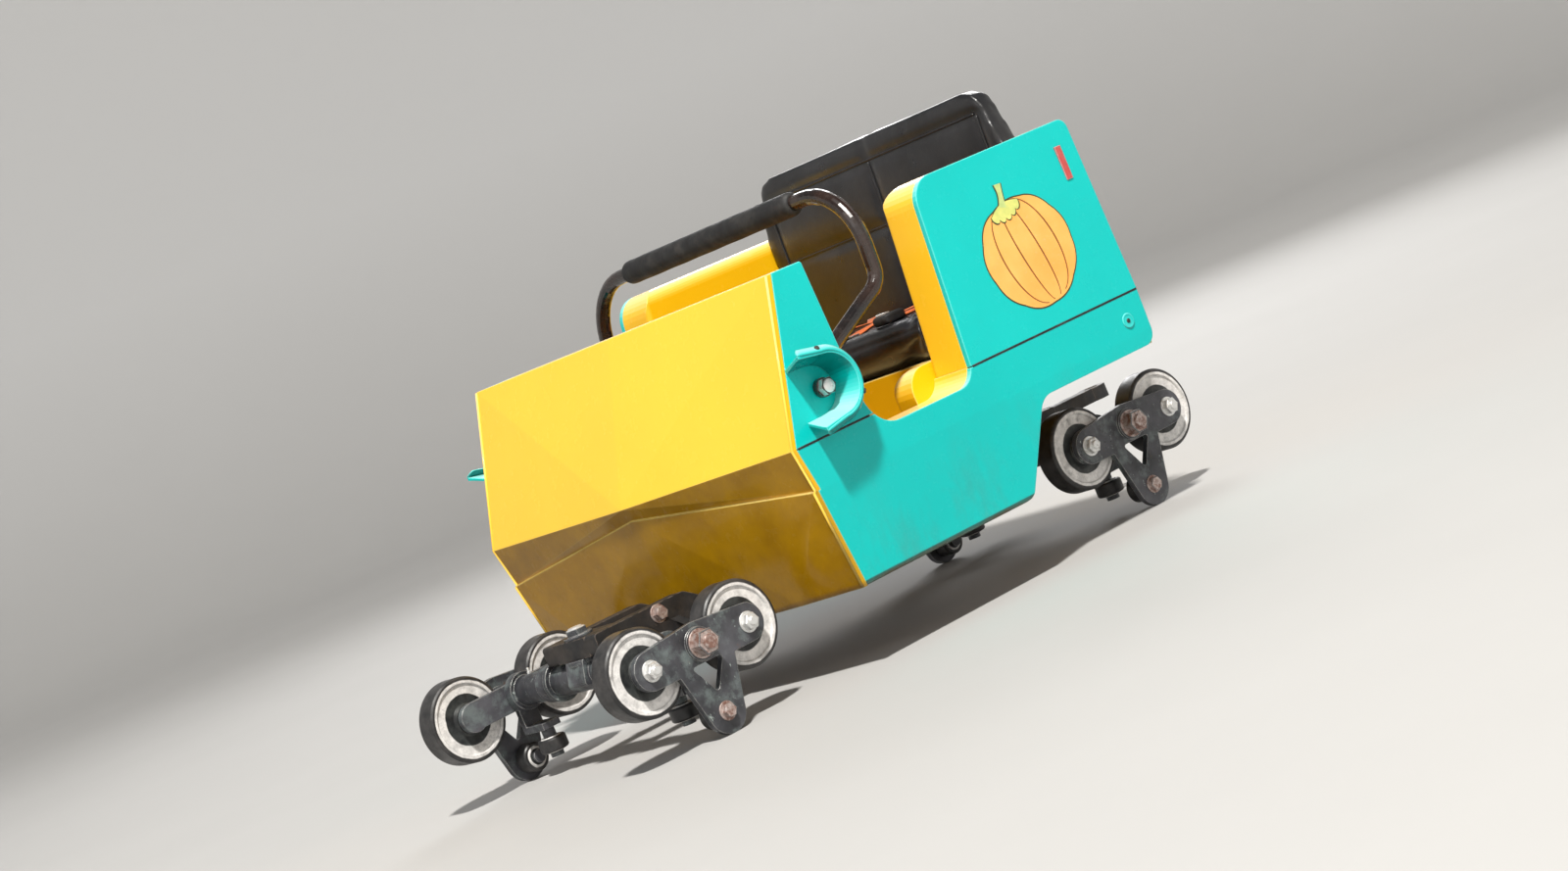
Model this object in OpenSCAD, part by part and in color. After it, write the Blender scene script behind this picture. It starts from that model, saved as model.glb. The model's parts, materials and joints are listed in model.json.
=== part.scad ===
// Lead car of a small roller coaster: a two-seat fibreglass tub on a steel
// ladder frame, carried by two steered bogies that wrap round the rails.
// +X is forward, +Y is the left side, +Z is up. The origin is at floor level,
// halfway along the car, with the car standing on the feet of its up-stop legs.

/* [Track fit] */
// Height of the rail head above the feet of the up-stop legs
rail_z = 88; // [84:1:100]
// Distance between the two kingpins
wheelbase = 1240; // [1200:5:1320]
// Forward place of the front kingpin
front_king_x = 670; // [660:1:690]

/* [Running wheels] */
// Radius of a running wheel over its tyre
wheel_r = 88; // [80:1:92]
// Width of a running wheel
wheel_w = 56; // [46:1:58]
// Distance between the two running wheels of one side
wheel_gap = 250; // [232:1:270]
// Middle of the running tread from the centre plane
tread_y = 318; // [312:1:326]
// Thickness of the tyre round the rim
tyre_t = 14; // [8:1:20]
// Radius of the axle bolt of a running wheel
axle_r = 10; // [8:0.5:14]

/* [Small rollers] */
// Radius of an up-stop roller
upstop_r = 30; // [26:1:30]
// Width of an up-stop roller
upstop_w = 40; // [30:1:44]
// Radius of a side guide roller
guide_r = 30; // [24:1:32]
// Width of a side guide roller
guide_w = 32; // [24:1:34]
// Radius of the bolt through a small roller
pin_r = 8; // [6:0.5:10]

/* [Bogies] */
// Thickness of the carrier plates
plate_t = 14; // [10:1:16]
// Radius of the cross axle tube
tube_r = 32; // [26:1:36]
// Radius of the kingpin
king_r = 15; // [12:0.5:18]
// Radius of the round ends of the outer carrier plates
ear_r = 38; // [34:1:42]
// Radius of the carrier's foot, round the up-stop bolt
foot_r = 44; // [40:1:46]

/* [Body] */
// Half width at the upper chine, the widest line of the body
chine_y = 540; // [520:1:560]
// Height of the upper chine and of the panel seam
chine_z = 446; // [440:1:452]
// Height of the lower chine at the sides
crease_z = 358; // [350:1:366]
// Height of the underside
keel_z = 152; // [146:1:158]
// Height of the front rim
rim_z = 770; // [750:1:790]
// Height of the top of the cheeks
cheek_z = 828; // [805:1:850]
// Height of the entry sill
sill_z = 414; // [408:1:422]
// Height of the underside of the tail
tail_z = 329; // [324:1:334]
// Thickness of an outer panel
skin = 12; // [8:1:14]
// Thickness of the whole cheek wall
cheek_t = 108; // [90:1:115]
// Radius of the rolled inner edges of the cheeks
roll_r = 30; // [10:1:36]
// Width of the seams between panels
seam = 2; // [1:0.5:4]

/* [Seat] */
// Thickness of the bench cushion
cushion_t = 100; // [80:1:110]
// Height of the top of the bench cushion
cushion_z = 582; // [570:1:592]
// Height of the top of the seat back
back_z = 962; // [930:1:980]
// Thickness of the seat back
back_t = 86; // [60:1:95]
// Width of the belt webbing
belt_w = 50; // [40:1:60]
// Distance between the two straps of a seat
belt_gap = 130; // [110:1:150]

/* [Lap bar] */
// Radius of the lap bar tube
bar_r = 16; // [12:0.5:18]
// Radius of the foam pad on the bar
pad_r = 27; // [24:0.5:32]
// Half length of the foam pad
pad_y = 300; // [260:1:310]
// Height of the cross bar
bar_z = 878; // [860:1:895]
// Forward place of the lap bar pivot
pivot_x = 301; // [292:1:310]
// Height of the lap bar pivot
pivot_z = 532; // [524:1:540]
// Radius of the lap bar pivot shaft
pivot_r = 12; // [10:0.5:14]
// Radius of the guards over the ends of the shaft
cover_r = 66; // [60:1:72]
// Depth of the guards
cover_depth = 60; // [40:1:64]

/* [Coupling] */
// Radius of the bore in the drawbar eye
eye_r = 16; // [12:0.5:18]
// Thickness of the drawbar eye
eye_t = 30; // [24:1:36]

/* [Hidden] */
$fn = 96;

fit = 0.05;          // radial clearance of a shaft that turns in its bore
face_gap = 0.3;      // gap between faces of two bodies that run on each other
run_gap = 5;         // side gap of a wheel between its plates
far = 2000;          // length that cuts right through the car

rear_king_x = front_king_x - wheelbase;
hub_z = rail_z + wheel_r;
axle_z = hub_z + 5;
front_x = front_king_x + wheel_gap/2 + wheel_r;
upstop_z = foot_r;

// Body lines: the section is the same all along the tub.
// Rows of body_section: distance from the centre plane, height.
keel_y = chine_y - 22;
crease_y = chine_y - 4;
top_y = chine_y - 8;
keel_roll = 10;      // round at the foot of the sides
body_section = [[keel_y - keel_roll, keel_z], [keel_y - 0.3*keel_roll, keel_z + 0.3*keel_roll],
                [keel_y, keel_z + keel_roll], [crease_y, crease_z], [chine_y, chine_z], [top_y, cheek_z]];

tail_x = -572;
arch_x = -223;       // top of the slanted front edge of the rear arch
arch_low_x = -112;   // foot of the same edge
arch_r = 45;         // round at its top
front_chine_x = 425;
front_crease_x = front_chine_x - 14;
front_keel_x = front_chine_x - 50;
fold_x = front_keel_x + 19;   // where the chin's slanting folds meet the underside
fold_y = 342;
front_rim_x = 311;
bow = 35;            // how far the middle of the front stands ahead at the chine
bow_rim = 14;        // the same at the rim
bow_crease_z = 417;  // height of the lower chine in the middle of the front
chin_step = 6;       // how far the chin stands proud of the band above it
post_x = 221;        // rear edge of the front posts
jamb_x = -71;        // front edge of the cheek at the seam
jamb_top_x = -116;   // the same at the top of the cheek
jamb_r = 58;         // round at the top of that edge
jamb_sill_x = jamb_x + (jamb_top_x - jamb_x)*(sill_z - chine_z)/(cheek_z - chine_z);
ledge_x = post_x + 14;
notch_y = 108;       // half width of the opening in the chin for the frame
notch_z = 232;

liner_y = top_y - cheek_t;
post_y = top_y - 44;   // inner face of the front posts
floor_z = 228;
floor_t = 8;
cover_t = 6;           // wall of the pivot covers

// Outline tables. Columns: forward place, height, corner radius.
cheek_rows = [[tail_x, chine_z, 0], [jamb_x, chine_z, 0], [jamb_top_x, cheek_z, jamb_r], [tail_x, cheek_z, 22]];
side_rows = [[front_keel_x, keel_z, 12], [front_crease_x, crease_z, 0], [front_chine_x, chine_z, 0],
             [front_rim_x, rim_z, 8], [post_x, rim_z, 6], [post_x - 6, sill_z, 70],
             [jamb_sill_x, sill_z, 46], [jamb_top_x, cheek_z, jamb_r], [tail_x, cheek_z, 22],
             [tail_x, tail_z, 28], [arch_x, tail_z, arch_r], [arch_low_x, keel_z, 30]];
// Rear edge, sill and front edge of the entry, and how far they are set out
function entry_rows(t) = [[post_x + t, rim_z, 0], [post_x - 6 + t, sill_z - t, 70 + t],
                          [jamb_sill_x - t, sill_z - t, 46 + t], [jamb_top_x - t, cheek_z, 0]];

// Outline helpers
function unit(v) = v / norm(v);
function cross2(a, b) = a[0]*b[1] - a[1]*b[0];
function corner(p, q, s, r, n) =
    let (a = unit(p - q), b = unit(s - q), half = acos(a*b)/2)
    r <= 0 || half > 89.9 ? [q] :
    let (d = r/tan(half), c = q + unit(a + b)*r/sin(half),
         v0 = q + a*d - c, v1 = q + b*d - c,
         sweep = atan2(cross2(v0, v1), v0*v1))
    [for (i = [0 : n]) let (t = sweep*i/n)
        c + [v0[0]*cos(t) - v0[1]*sin(t), v0[0]*sin(t) + v0[1]*cos(t)]];
function rounded(rows, n = 8) = [for (i = [0 : len(rows) - 1])
    let (m = len(rows), p = rows[(i + m - 1) % m], q = rows[i], s = rows[(i + 1) % m])
    each corner([p[0], p[1]], [q[0], q[1]], [s[0], s[1]], q[2], n)];

// A flat outline in X and Z, given depth from y0 to y1
module slab(y0, y1) {
    translate([0, y1, 0]) rotate([90, 0, 0]) linear_extrude(y1 - y0) children();
}
// A flat outline in Y and Z, given length from x0 to x1
module along(x0, x1) {
    translate([x0, 0, 0]) rotate([90, 0, 90]) linear_extrude(x1 - x0) children();
}
module on_side(s) {
    if (s > 0) children();
    else mirror([0, 1, 0]) children();
}
module box(x, y, z) {
    translate([x[0], y[0], z[0]]) cube([x[1] - x[0], y[1] - y[0], z[1] - z[0]]);
}
module bar_y(r, y0, y1) {
    translate([0, y0, 0]) rotate([-90, 0, 0]) cylinder(r = r, h = y1 - y0);
}
// A six-sided head or nut along Y, with the width across its flats
module hex_y(flats, y0, y1) {
    translate([0, y0, 0]) rotate([-90, 0, 0]) cylinder(r = flats/sqrt(3), h = y1 - y0, $fn = 6);
}

// Body panels

// A wall that follows the body section, t thick, on the left side
module section_wall(t) {
    m = len(body_section) - 1;
    along(tail_x, front_x)
        polygon([each body_section, for (i = [m : -1 : 0]) body_section[i] - [t, 0]]);
}
// The wall between a given plane and the body section
module section_block(y0) {
    m = len(body_section) - 1;
    along(tail_x, front_x)
        polygon([each body_section, [y0, cheek_z], [y0, keel_z]]);
}
// The side outline, set back at the front by the cowl
module side_outline() {
    difference() {
        polygon(rounded(side_rows));
        polygon([for (p = [[front_keel_x, keel_z - 1], [front_keel_x, keel_z], [front_crease_x, crease_z],
                           [front_crease_x - chin_step, crease_z], [front_chine_x, chine_z], [front_rim_x, rim_z], [front_rim_x, rim_z + 1]])
                     p - [skin, 0],
                 [front_x, rim_z + 1], [front_x, keel_z - 1]]);
    }
}
module side_lower(s) {
    color("darkturquoise") on_side(s) intersection() {
        section_wall(skin);
        slab(0, chine_y + 1) intersection() {
            side_outline();
            translate([tail_x, keel_z]) square([front_x - tail_x, chine_z - keel_z - seam]);
        }
    }
}
module front_post(s) {
    color("darkturquoise") on_side(s) difference() {
        intersection() {
            section_block(post_y);
            slab(0, chine_y + 1) intersection() {
                side_outline();
                translate([0, chine_z]) square([front_x, cheek_z - chine_z]);
            }
        }
        translate([pivot_x, 0, pivot_z]) bar_y(pivot_r + fit, 0, chine_y + 1);
    }
}
module cheek(s) {
    color("darkturquoise") on_side(s) intersection() {
        section_wall(skin);
        slab(0, chine_y + 1) polygon(rounded(cheek_rows));
    }
}
// Inner moulding of a cheek, with its top and front edges rolled over inwards
module cheek_liner(s) {
    lean = atan((jamb_x - jamb_top_x)/(cheek_z - chine_z));
    color("gold") on_side(s) intersection() {
        along(tail_x, front_x)
            polygon(rounded([[liner_y, keel_z, 0], [chine_y - skin, keel_z, 0], [chine_y - skin, chine_z, 0],
                             [top_y - skin, cheek_z, 0], [liner_y, cheek_z, roll_r]]));
        slab(0, chine_y) polygon(rounded(cheek_rows));
        translate([jamb_x, 0, chine_z]) rotate([0, -lean, 0]) translate([0, 0, -skin - cheek_t])
            linear_extrude(cheek_z)
                polygon(rounded([[tail_x - front_x, liner_y, 0], [0, liner_y, 0.4*roll_r], [0, chine_y, 0],
                                 [tail_x - front_x, chine_y, 0]]));
    }
}

// A convex block whose front follows rows of: forward place at the sides, half
// width, height, forward place in the middle, its height
module front_wedge(rows) {
    back_x = 100;
    pts = [for (r = rows) each [[r[0], r[1], r[2]], [r[0], -r[1], r[2]], [r[3], 0, r[4]],
                                [back_x, r[1], r[2]], [back_x, -r[1], r[2]]]];
    hull() polyhedron(pts, [for (i = [0 : 5 : len(pts) - 1]) each [[i, i + 1, i + 2], [i, i + 3, i + 4]]]);
}
// The front: a raked upper face and the undercut band below it, both bowed in
// the middle, then the chin, whose top edge stands a little proud of the band
module front_block() {
    band_x = front_crease_x - chin_step;
    front_wedge([[front_rim_x, top_y, rim_z, front_rim_x + bow_rim, rim_z],
                 [front_chine_x, chine_y, chine_z, front_chine_x + bow, chine_z],
                 [band_x, crease_y, crease_z, band_x + bow, bow_crease_z]]);
    front_wedge([[front_crease_x, crease_y, crease_z, front_crease_x + bow, bow_crease_z],
                 [front_keel_x, keel_y, keel_z, front_keel_x + 27, keel_z],
                 [fold_x, fold_y, keel_z, front_keel_x + 27, keel_z]]);
}
module front_cowl() {
    color("gold") difference() {
        front_block();
        translate([-skin, 0, 0]) difference() {
            front_block();
            box([ledge_x + skin, front_x], [-chine_y, chine_y], [rim_z - skin, rim_z + 1]);
        }
        box([0, ledge_x], [-chine_y - 1, chine_y + 1], [keel_z - 1, rim_z + 1]);
        for (s = [-1, 1]) on_side(s) slab(post_y, chine_y + 1)
            polygon([[0, rim_z + 1], [front_rim_x - skin, rim_z + 1], [front_rim_x - skin, rim_z],
                     [front_rim_x - skin + (front_chine_x - front_rim_x)*(skin + 1)/(rim_z - chine_z), rim_z - skin - 1],
                     [0, rim_z - skin - 1]]);
        box([0, front_x], [-notch_y, notch_y], [keel_z - 1, notch_z]);
    }
}

wall = 15;             // thickness of the slanted arch wall along the car
// Forward place of the arch's slanted edge at a height
function arch_at(z) = arch_x + (arch_low_x - arch_x)*(tail_z - z)/(tail_z - keel_z);

// The space inside both side panels
module inside_section() {
    half = [for (p = body_section) p - [skin, 0]];
    along(tail_x, front_x)
        polygon([each half, for (i = [len(half) - 1 : -1 : 0]) [-half[i][0], half[i][1]]]);
}

// Tail wall, shelf over the rear bogie and the slanted wall ahead of it
module rear_bulkhead() {
    z0 = keel_z + floor_t;
    z1 = tail_z + skin;
    color("gold") union() {
        box([tail_x, tail_x + skin], [-liner_y, liner_y], [tail_z, cheek_z]);
        difference() {
            intersection() {
                inside_section();
                slab(-chine_y, chine_y)
                    polygon(rounded([[tail_x, tail_z, 0], [arch_x, tail_z, arch_r], [arch_at(z0), z0, 0],
                                     [arch_at(z0) + wall, z0, 0], [arch_at(z1) + wall, z1, arch_r + skin],
                                     [tail_x + skin, z1, 0], [tail_x + skin, chine_z - seam, 0],
                                     [tail_x, chine_z - seam, 0]]));
            }
            box([arch_x, 0], [-notch_y, notch_y], [z0 - 1, floor_z - floor_t]);
        }
    }
}

// Inner moulding: floor, lower walls and the rolled edge of the entries
module floor_pan() {
    x1 = front_keel_x - skin - 4;
    x2 = x1 + (front_crease_x - front_keel_x)*(floor_z - floor_t - keel_z)/(crease_z - keel_z);
    x3 = front_crease_x - chin_step - skin - 4;
    w0 = keel_y - keel_roll - skin - 1;
    color("gold") union() {
        box([arch_low_x + skin, x1], [-w0, w0], [keel_z, keel_z + floor_t]);
        slab(-liner_y - 2, liner_y + 2)
            polygon([[arch_at(floor_z - floor_t) + wall, floor_z - floor_t], [x2, floor_z - floor_t],
                     [x2, floor_z], [arch_at(floor_z) + wall, floor_z]]);
        for (s = [-1, 1]) on_side(s) {
            slab(liner_y, liner_y + floor_t)
                polygon([[arch_at(keel_z) + wall, keel_z], [x1, keel_z], [x3, crease_z], [x3, sill_z - floor_t],
                         [arch_at(tail_z) + wall, sill_z - floor_t], [arch_at(tail_z) + wall, tail_z]]);
            intersection() {
                inside_section();
                slab(liner_y, chine_y) intersection() {
                    difference() {
                        polygon(rounded(entry_rows(floor_t), 6));
                        polygon(rounded(entry_rows(0), 8));
                    }
                    translate([tail_x, keel_z]) square([post_x - 4 - tail_x, chine_z - keel_z]);
                }
            }
        }
    }
}

// Moulded bench box: a front wall, a top and a step over the rear arch, with
// a rounded bolster at each end that runs forward beside the riders' legs
module seat_base() {
    bolster_x = -2;
    bolster_t = 56;
    x0 = tail_x + skin;
    x1 = -95;
    foot_x = x1 - 10;
    z0 = tail_z + skin;
    z1 = cushion_z - cushion_t;
    t = 10;
    a0 = arch_at(z0) + wall;
    a1 = arch_at(floor_z) + wall;
    color("gold") {
        difference() {
            slab(-liner_y, liner_y)
                polygon([[x0, z0], [a0, z0], [a1, floor_z], [foot_x, floor_z], [x1, z1], [x0, z1]]);
            slab(-liner_y + t, liner_y - t)
                polygon([[x0 + t, z0 + t], [a0 + t, z0 + t], [a1 + t, floor_z + t], [foot_x - t, floor_z + t],
                         [x1 - t, z1 - t], [x0 + t, z1 - t]]);
        }
        for (s = [-1, 1]) on_side(s) intersection() {
            slab(0, liner_y)
                polygon(rounded([[foot_x - t, floor_z, 0], [bolster_x - 12, floor_z, 10], [bolster_x, z1, 50],
                                 [foot_x - t, z1, 0]]));
            along(foot_x - t, bolster_x)
                polygon(rounded([[liner_y - bolster_t, floor_z, 0], [liner_y, floor_z, 0], [liner_y, z1, 0],
                                 [liner_y - bolster_t, z1, 30]]));
        }
    }
}

cushion_front_x = -78;
cushion_drop = 12;   // how much lower the cushion is at the back
module seat_cushion() {
    x0 = tail_x + skin + back_t;
    z0 = cushion_z - cushion_t;
    color("dimgray") slab(-liner_y + 1, liner_y - 1)
        polygon(rounded([[x0, z0, 0], [cushion_front_x - 10, z0, 12], [cushion_front_x, cushion_z, 34],
                         [x0, cushion_z - cushion_drop, 0]]));
}
module seat_back() {
    x0 = tail_x + skin;
    color("dimgray") difference() {
        along(x0, x0 + back_t)
            polygon(rounded([[-liner_y + 1, cushion_z - cushion_t, 0], [liner_y - 1, cushion_z - cushion_t, 0],
                             [liner_y - 1, cheek_z, 0], [liner_y - 0.4*back_t, back_z, 0.7*back_t],
                             [-liner_y + 0.4*back_t, back_z, 0.7*back_t], [-liner_y + 1, cheek_z, 0]]));
        slab(-far/2, far/2) polygon([[x0 + back_t + 1, cushion_z], [x0 + back_t + 1, back_z + 1], [x0 + 0.72*back_t, back_z + 1],
                                 [x0 + back_t, cushion_z]]);
    }
}
module seat_belts() {
    t = 3;
    x0 = tail_x + skin + back_t;
    x1 = -140;
    z0 = cushion_z - cushion_drop + face_gap;
    z1 = z0 + cushion_drop*(x1 - x0)/(cushion_front_x - x0);
    color("darkorange") for (seat = [-1, 1], side = [-1, 1])
        let (y = seat*liner_y/2 + side*belt_gap/2) slab(y - belt_w/2, y + belt_w/2)
            polygon([[x0, z0], [x1, z1], [x1, z1 + t], [x0, z0 + t]]);
}

// A deep U-shaped guard over the end of the lap bar shaft: open to the front,
// and wider at its rim than where it meets the post
module guard_outline(r, reach, spread) {
    intersection() {
        circle(r = r, $fn = 48);
        translate([-r, -r]) square([r, 2*r]);
    }
    polygon([[0, -r], [reach, -r - spread], [reach, r + spread], [0, r]]);
}
module guard_solid(wall_in) {
    foot = 14;             // how much smaller the guard is at the post
    reach = 58;
    hull() {
        slab(-skin, -skin + 1) guard_outline(cover_r - foot - wall_in, reach - 12 + 2*wall_in, 2);
        slab(cover_depth, cover_depth + 1) guard_outline(cover_r - wall_in, reach + 2*wall_in, 10);
    }
}
module pivot_cover(s) {
    color("darkturquoise") on_side(s) difference() {
        translate([pivot_x + 14, chine_y, pivot_z + 1]) difference() {
            guard_solid(0);
            guard_solid(cover_t);
        }
        section_block(0);
    }
}

module side_reflectors() {
    color("firebrick") for (s = [-1, 1]) on_side(s) difference() {
        box([tail_x + 43, tail_x + 60], [top_y, top_y + 5], [cheek_z - 122, cheek_z - 50]);
        section_block(0);
    }
}

// Steel frame: two side members that climb from the tub over both bogies
member_t = 40;
member_y = 55;
deck_h = 40;
deck_z = axle_z + tube_r + 4;        // underside of the frame over a bogie
frame_back_x = rear_king_x - 70;

module frame_member() {
    low0 = keel_z + floor_t;
    low1 = floor_z - floor_t;
    top = deck_z + deck_h;
    polygon(rounded([[frame_back_x, deck_z, 6], [arch_x - 100, deck_z, 20], [arch_x - 30, low0, 20],
                     [front_keel_x + 50, low0, 20], [front_keel_x + 120, deck_z, 20], [front_king_x + 30, deck_z, 8],
                     [front_king_x + 30, top, 8], [front_keel_x + 90, top, 20], [front_keel_x + 30, low1, 20],
                     [arch_x + 60, low1, 20], [arch_x, top, 20], [frame_back_x, top, 6]], 5));
}
module chassis_frame() {
    cross_y = [-member_y - 2, member_y + 2];   // cross members run into the side members
    color("dimgray") difference() {
        union() {
            for (s = [-1, 1]) on_side(s) {
                slab(member_y, member_y + member_t) frame_member();
                for (x = [arch_x - 77, max(tail_x + 22, frame_back_x)])
                    box([x, x + 50], [member_y, member_y + member_t], [deck_z + 1, tail_z]);
                // Pinch bolts of the two arms
                for (x = [front_king_x - 130, rear_king_x + 130]) translate([x, 0, deck_z + 21])
                    hex_y(26, member_y + member_t, member_y + member_t + 15);
            }
            for (x = [front_keel_x - 120, arch_low_x + 40])
                box([x, x + 50], cross_y, [keel_z + floor_t + 10, floor_z - floor_t - 5]);
            box([front_king_x - 50, front_king_x + 30], cross_y, [deck_z, deck_z + deck_h]);
            box([frame_back_x, rear_king_x + 50], cross_y, [deck_z, deck_z + deck_h]);
        }
        for (x = [front_king_x, rear_king_x])
            translate([x, 0, 0]) cylinder(r = king_r + fit, h = tail_z + 50);
    }
}

module drawbar() {
    eye_x = -front_x + 2*eye_r;
    color("dimgray") translate([0, 0, deck_z]) difference() {
        union() {
            box([eye_x, frame_back_x], [-24, 24], [0, eye_t]);
            translate([eye_x, 0, 0]) cylinder(r = 2*eye_r, h = eye_t);
            box([frame_back_x - 12, frame_back_x], [-70, 70], [0, deck_h]);
        }
        translate([eye_x, 0, -1]) cylinder(r = eye_r, h = eye_t + 2);
    }
}

// Lap bar: one bent tube with a shaft at each end
bar_x = -15;
elbow_x = -3;
elbow_z = 672;
arm_y = post_y - 26;

// Points of the middle line. Columns of rows: place, bend radius.
function bend(p, q, s, r, n) = r == 0 ? [q] :
    let (a = unit(p - q), b = unit(s - q), half = acos(a*b)/2, c = q + unit(a + b)*r/sin(half),
         v = q + a*r/tan(half) - c, w = unit(cross(cross(v, a), v))*r*sign(-(v*a) + 1), turn = 180 - 2*half)
    [for (i = [0 : n]) c + v*cos(turn*i/n) - w*sin(turn*i/n)];
function middle_line(rows) = [for (i = [0 : len(rows) - 1])
    let (p = rows[max(i - 1, 0)][0], q = rows[i][0], s = rows[min(i + 1, len(rows) - 1)][0])
    each bend(p, q, s, rows[i][1], ceil(rows[i][1]/12))];
// A tube swept along points that never run along X
module swept_tube(pts, r, sides = 16) {
    m = len(pts);
    rings = [for (i = [0 : m - 1])
        let (t = unit(pts[min(i + 1, m - 1)] - pts[max(i - 1, 0)]), u = unit(cross(t, [1, 0, 0])), v = cross(t, u))
        each [for (k = [0 : sides - 1]) pts[i] + r*(u*cos(360*k/sides) + v*sin(360*k/sides))]];
    polyhedron(rings, [
        [for (k = [0 : sides - 1]) k],
        for (i = [0 : m - 2], k = [0 : sides - 1])
            let (a = i*sides + k, b = i*sides + (k + 1) % sides)
            each [[a, a + sides, b], [b, a + sides, b + sides]],
        [for (k = [sides - 1 : -1 : 0]) (m - 1)*sides + k]]);
}
module lap_bar_frame() {
    color("#3a2a22") union() {
        swept_tube(middle_line([[[pivot_x, arm_y, pivot_z], 0], [[elbow_x, arm_y, elbow_z], 50],
                                [[bar_x, arm_y, bar_z], 130], [[bar_x, -arm_y, bar_z], 130],
                                [[elbow_x, -arm_y, elbow_z], 50], [[pivot_x, -arm_y, pivot_z], 0]]), bar_r);
        for (s = [-1, 1]) on_side(s) translate([pivot_x, 0, pivot_z]) {
            bar_y(26, arm_y - 18, arm_y + 18);
            bar_y(pivot_r, arm_y, chine_y + 4);
            bar_y(19, chine_y + 0.5, chine_y + 12);
            hex_y(30, chine_y + 11, chine_y + 27);
        }
    }
}
module lap_bar_pad() {
    color("#151515") translate([bar_x, 0, bar_z]) difference() {
        bar_y(pad_r, -pad_y, pad_y);
        bar_y(bar_r, -pad_y - 1, pad_y + 1);
    }
}

// Bogies
plate_in = tread_y - wheel_w/2 - run_gap;     // outer face of the inner plate
plate_out = tread_y + wheel_w/2 + run_gap;    // inner face of the outer plate

module axle_beam(x) {
    color("#2f2a28") translate([x, 0, 0]) union() {
        translate([0, 0, axle_z]) {
            bar_y(tube_r, -plate_in + plate_t, plate_in - plate_t);
            for (s = [-1, 1]) on_side(s) {
                bar_y(tube_r + 8, plate_in - plate_t - 24, plate_in - plate_t);
                bar_y(tube_r + 6, member_y + member_t + 18, member_y + member_t + 62);
                bar_y(tube_r + 10, member_y + member_t + 18, member_y + member_t + 28);
            }
        }
        slab(-30, 30) polygon(rounded([[-50, axle_z - 16, 8], [50, axle_z - 16, 8], [34, deck_z - face_gap, 3],
                                       [-34, deck_z - face_gap, 3]], 4));
        translate([0, 0, deck_z - face_gap - 9]) cylinder(r = 40, h = 9);
        translate([0, 0, axle_z]) cylinder(r = king_r, h = deck_z + deck_h + 20 - axle_z);
        translate([0, 0, deck_z + deck_h + face_gap]) cylinder(r = 30, h = 5);
        translate([0, 0, deck_z + deck_h + face_gap]) cylinder(r = 40/sqrt(3), h = 17, $fn = 6);
    }
}

// Outer carrier plate: two ears, the pivot boss and a tapered leg with a
// three-cornered opening down to the foot
module outer_plate() {
    leg = 70;
    difference() {
        union() {
            hull() {
                for (x = [-1, 1]) translate([x*wheel_gap/2, hub_z]) circle(r = ear_r, $fn = 48);
                translate([0, axle_z]) circle(r = ear_r + 6, $fn = 48);
            }
            hull() {
                translate([-leg, hub_z - ear_r]) square([2*leg, ear_r]);
                translate([0, upstop_z]) circle(r = foot_r, $fn = 48);
            }
        }
        polygon(rounded([[-42, hub_z - 31, 5], [38, hub_z - 31, 5], [0, upstop_z + 38, 6]], 4));
    }
}
module carrier(x, s) {
    color("#3b3f3e") translate([x, 0, 0]) on_side(s) union() {
        slab(plate_out, plate_out + plate_t) outer_plate();
        slab(plate_in - plate_t, plate_in) union() {
            translate([-wheel_gap/2, hub_z - 26]) square([wheel_gap, 57]);
            for (dx = [-1, 1]) translate([dx*wheel_gap/2, hub_z]) circle(r = 30);
        }
        translate([0, 0, axle_z]) {
            bar_y(23, plate_in, plate_out);
            bar_y(33, plate_out + plate_t, plate_out + plate_t + 6);
            hex_y(46, plate_out + plate_t, plate_out + plate_t + 34);
        }
        for (dx = [-1, 1]) translate([dx*wheel_gap/2, 0, hub_z]) {
            bar_y(axle_r, plate_in, plate_out);
            hex_y(30, plate_out + plate_t, plate_out + plate_t + 13);
        }
        translate([0, 0, upstop_z]) {
            bar_y(pin_r, plate_out - upstop_w - run_gap - 1, plate_out);
            bar_y(pin_r + 6, plate_out - upstop_w - run_gap - 7, plate_out - upstop_w - run_gap - 1);
            hex_y(26, plate_out + plate_t, plate_out + plate_t + 12);
        }
        guide_arm();
    }
}
guide_y = plate_in - plate_t - guide_r - 6;
guide_top = rail_z - 10;

// Bracket under the inner plate that carries the side guide roller. It stays
// above the rail head, which passes between the wheels and the up-stop roller.
module guide_arm() {
    z0 = rail_z + 8;
    low = guide_top - guide_w - 2;
    box([-22, 22], [guide_y - 22, plate_in - plate_t], [z0, z0 + 14]);
    box([-22, 22], [plate_in - plate_t, plate_in], [z0, hub_z]);
    translate([0, guide_y, guide_top + 2]) cylinder(r = pin_r + 6, h = z0 - guide_top - 2);
    translate([0, guide_y, low - 1]) cylinder(r = pin_r, h = z0 - low + 2);
    translate([0, guide_y, low - 8]) cylinder(r = pin_r + 6, h = 8);
}

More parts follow.
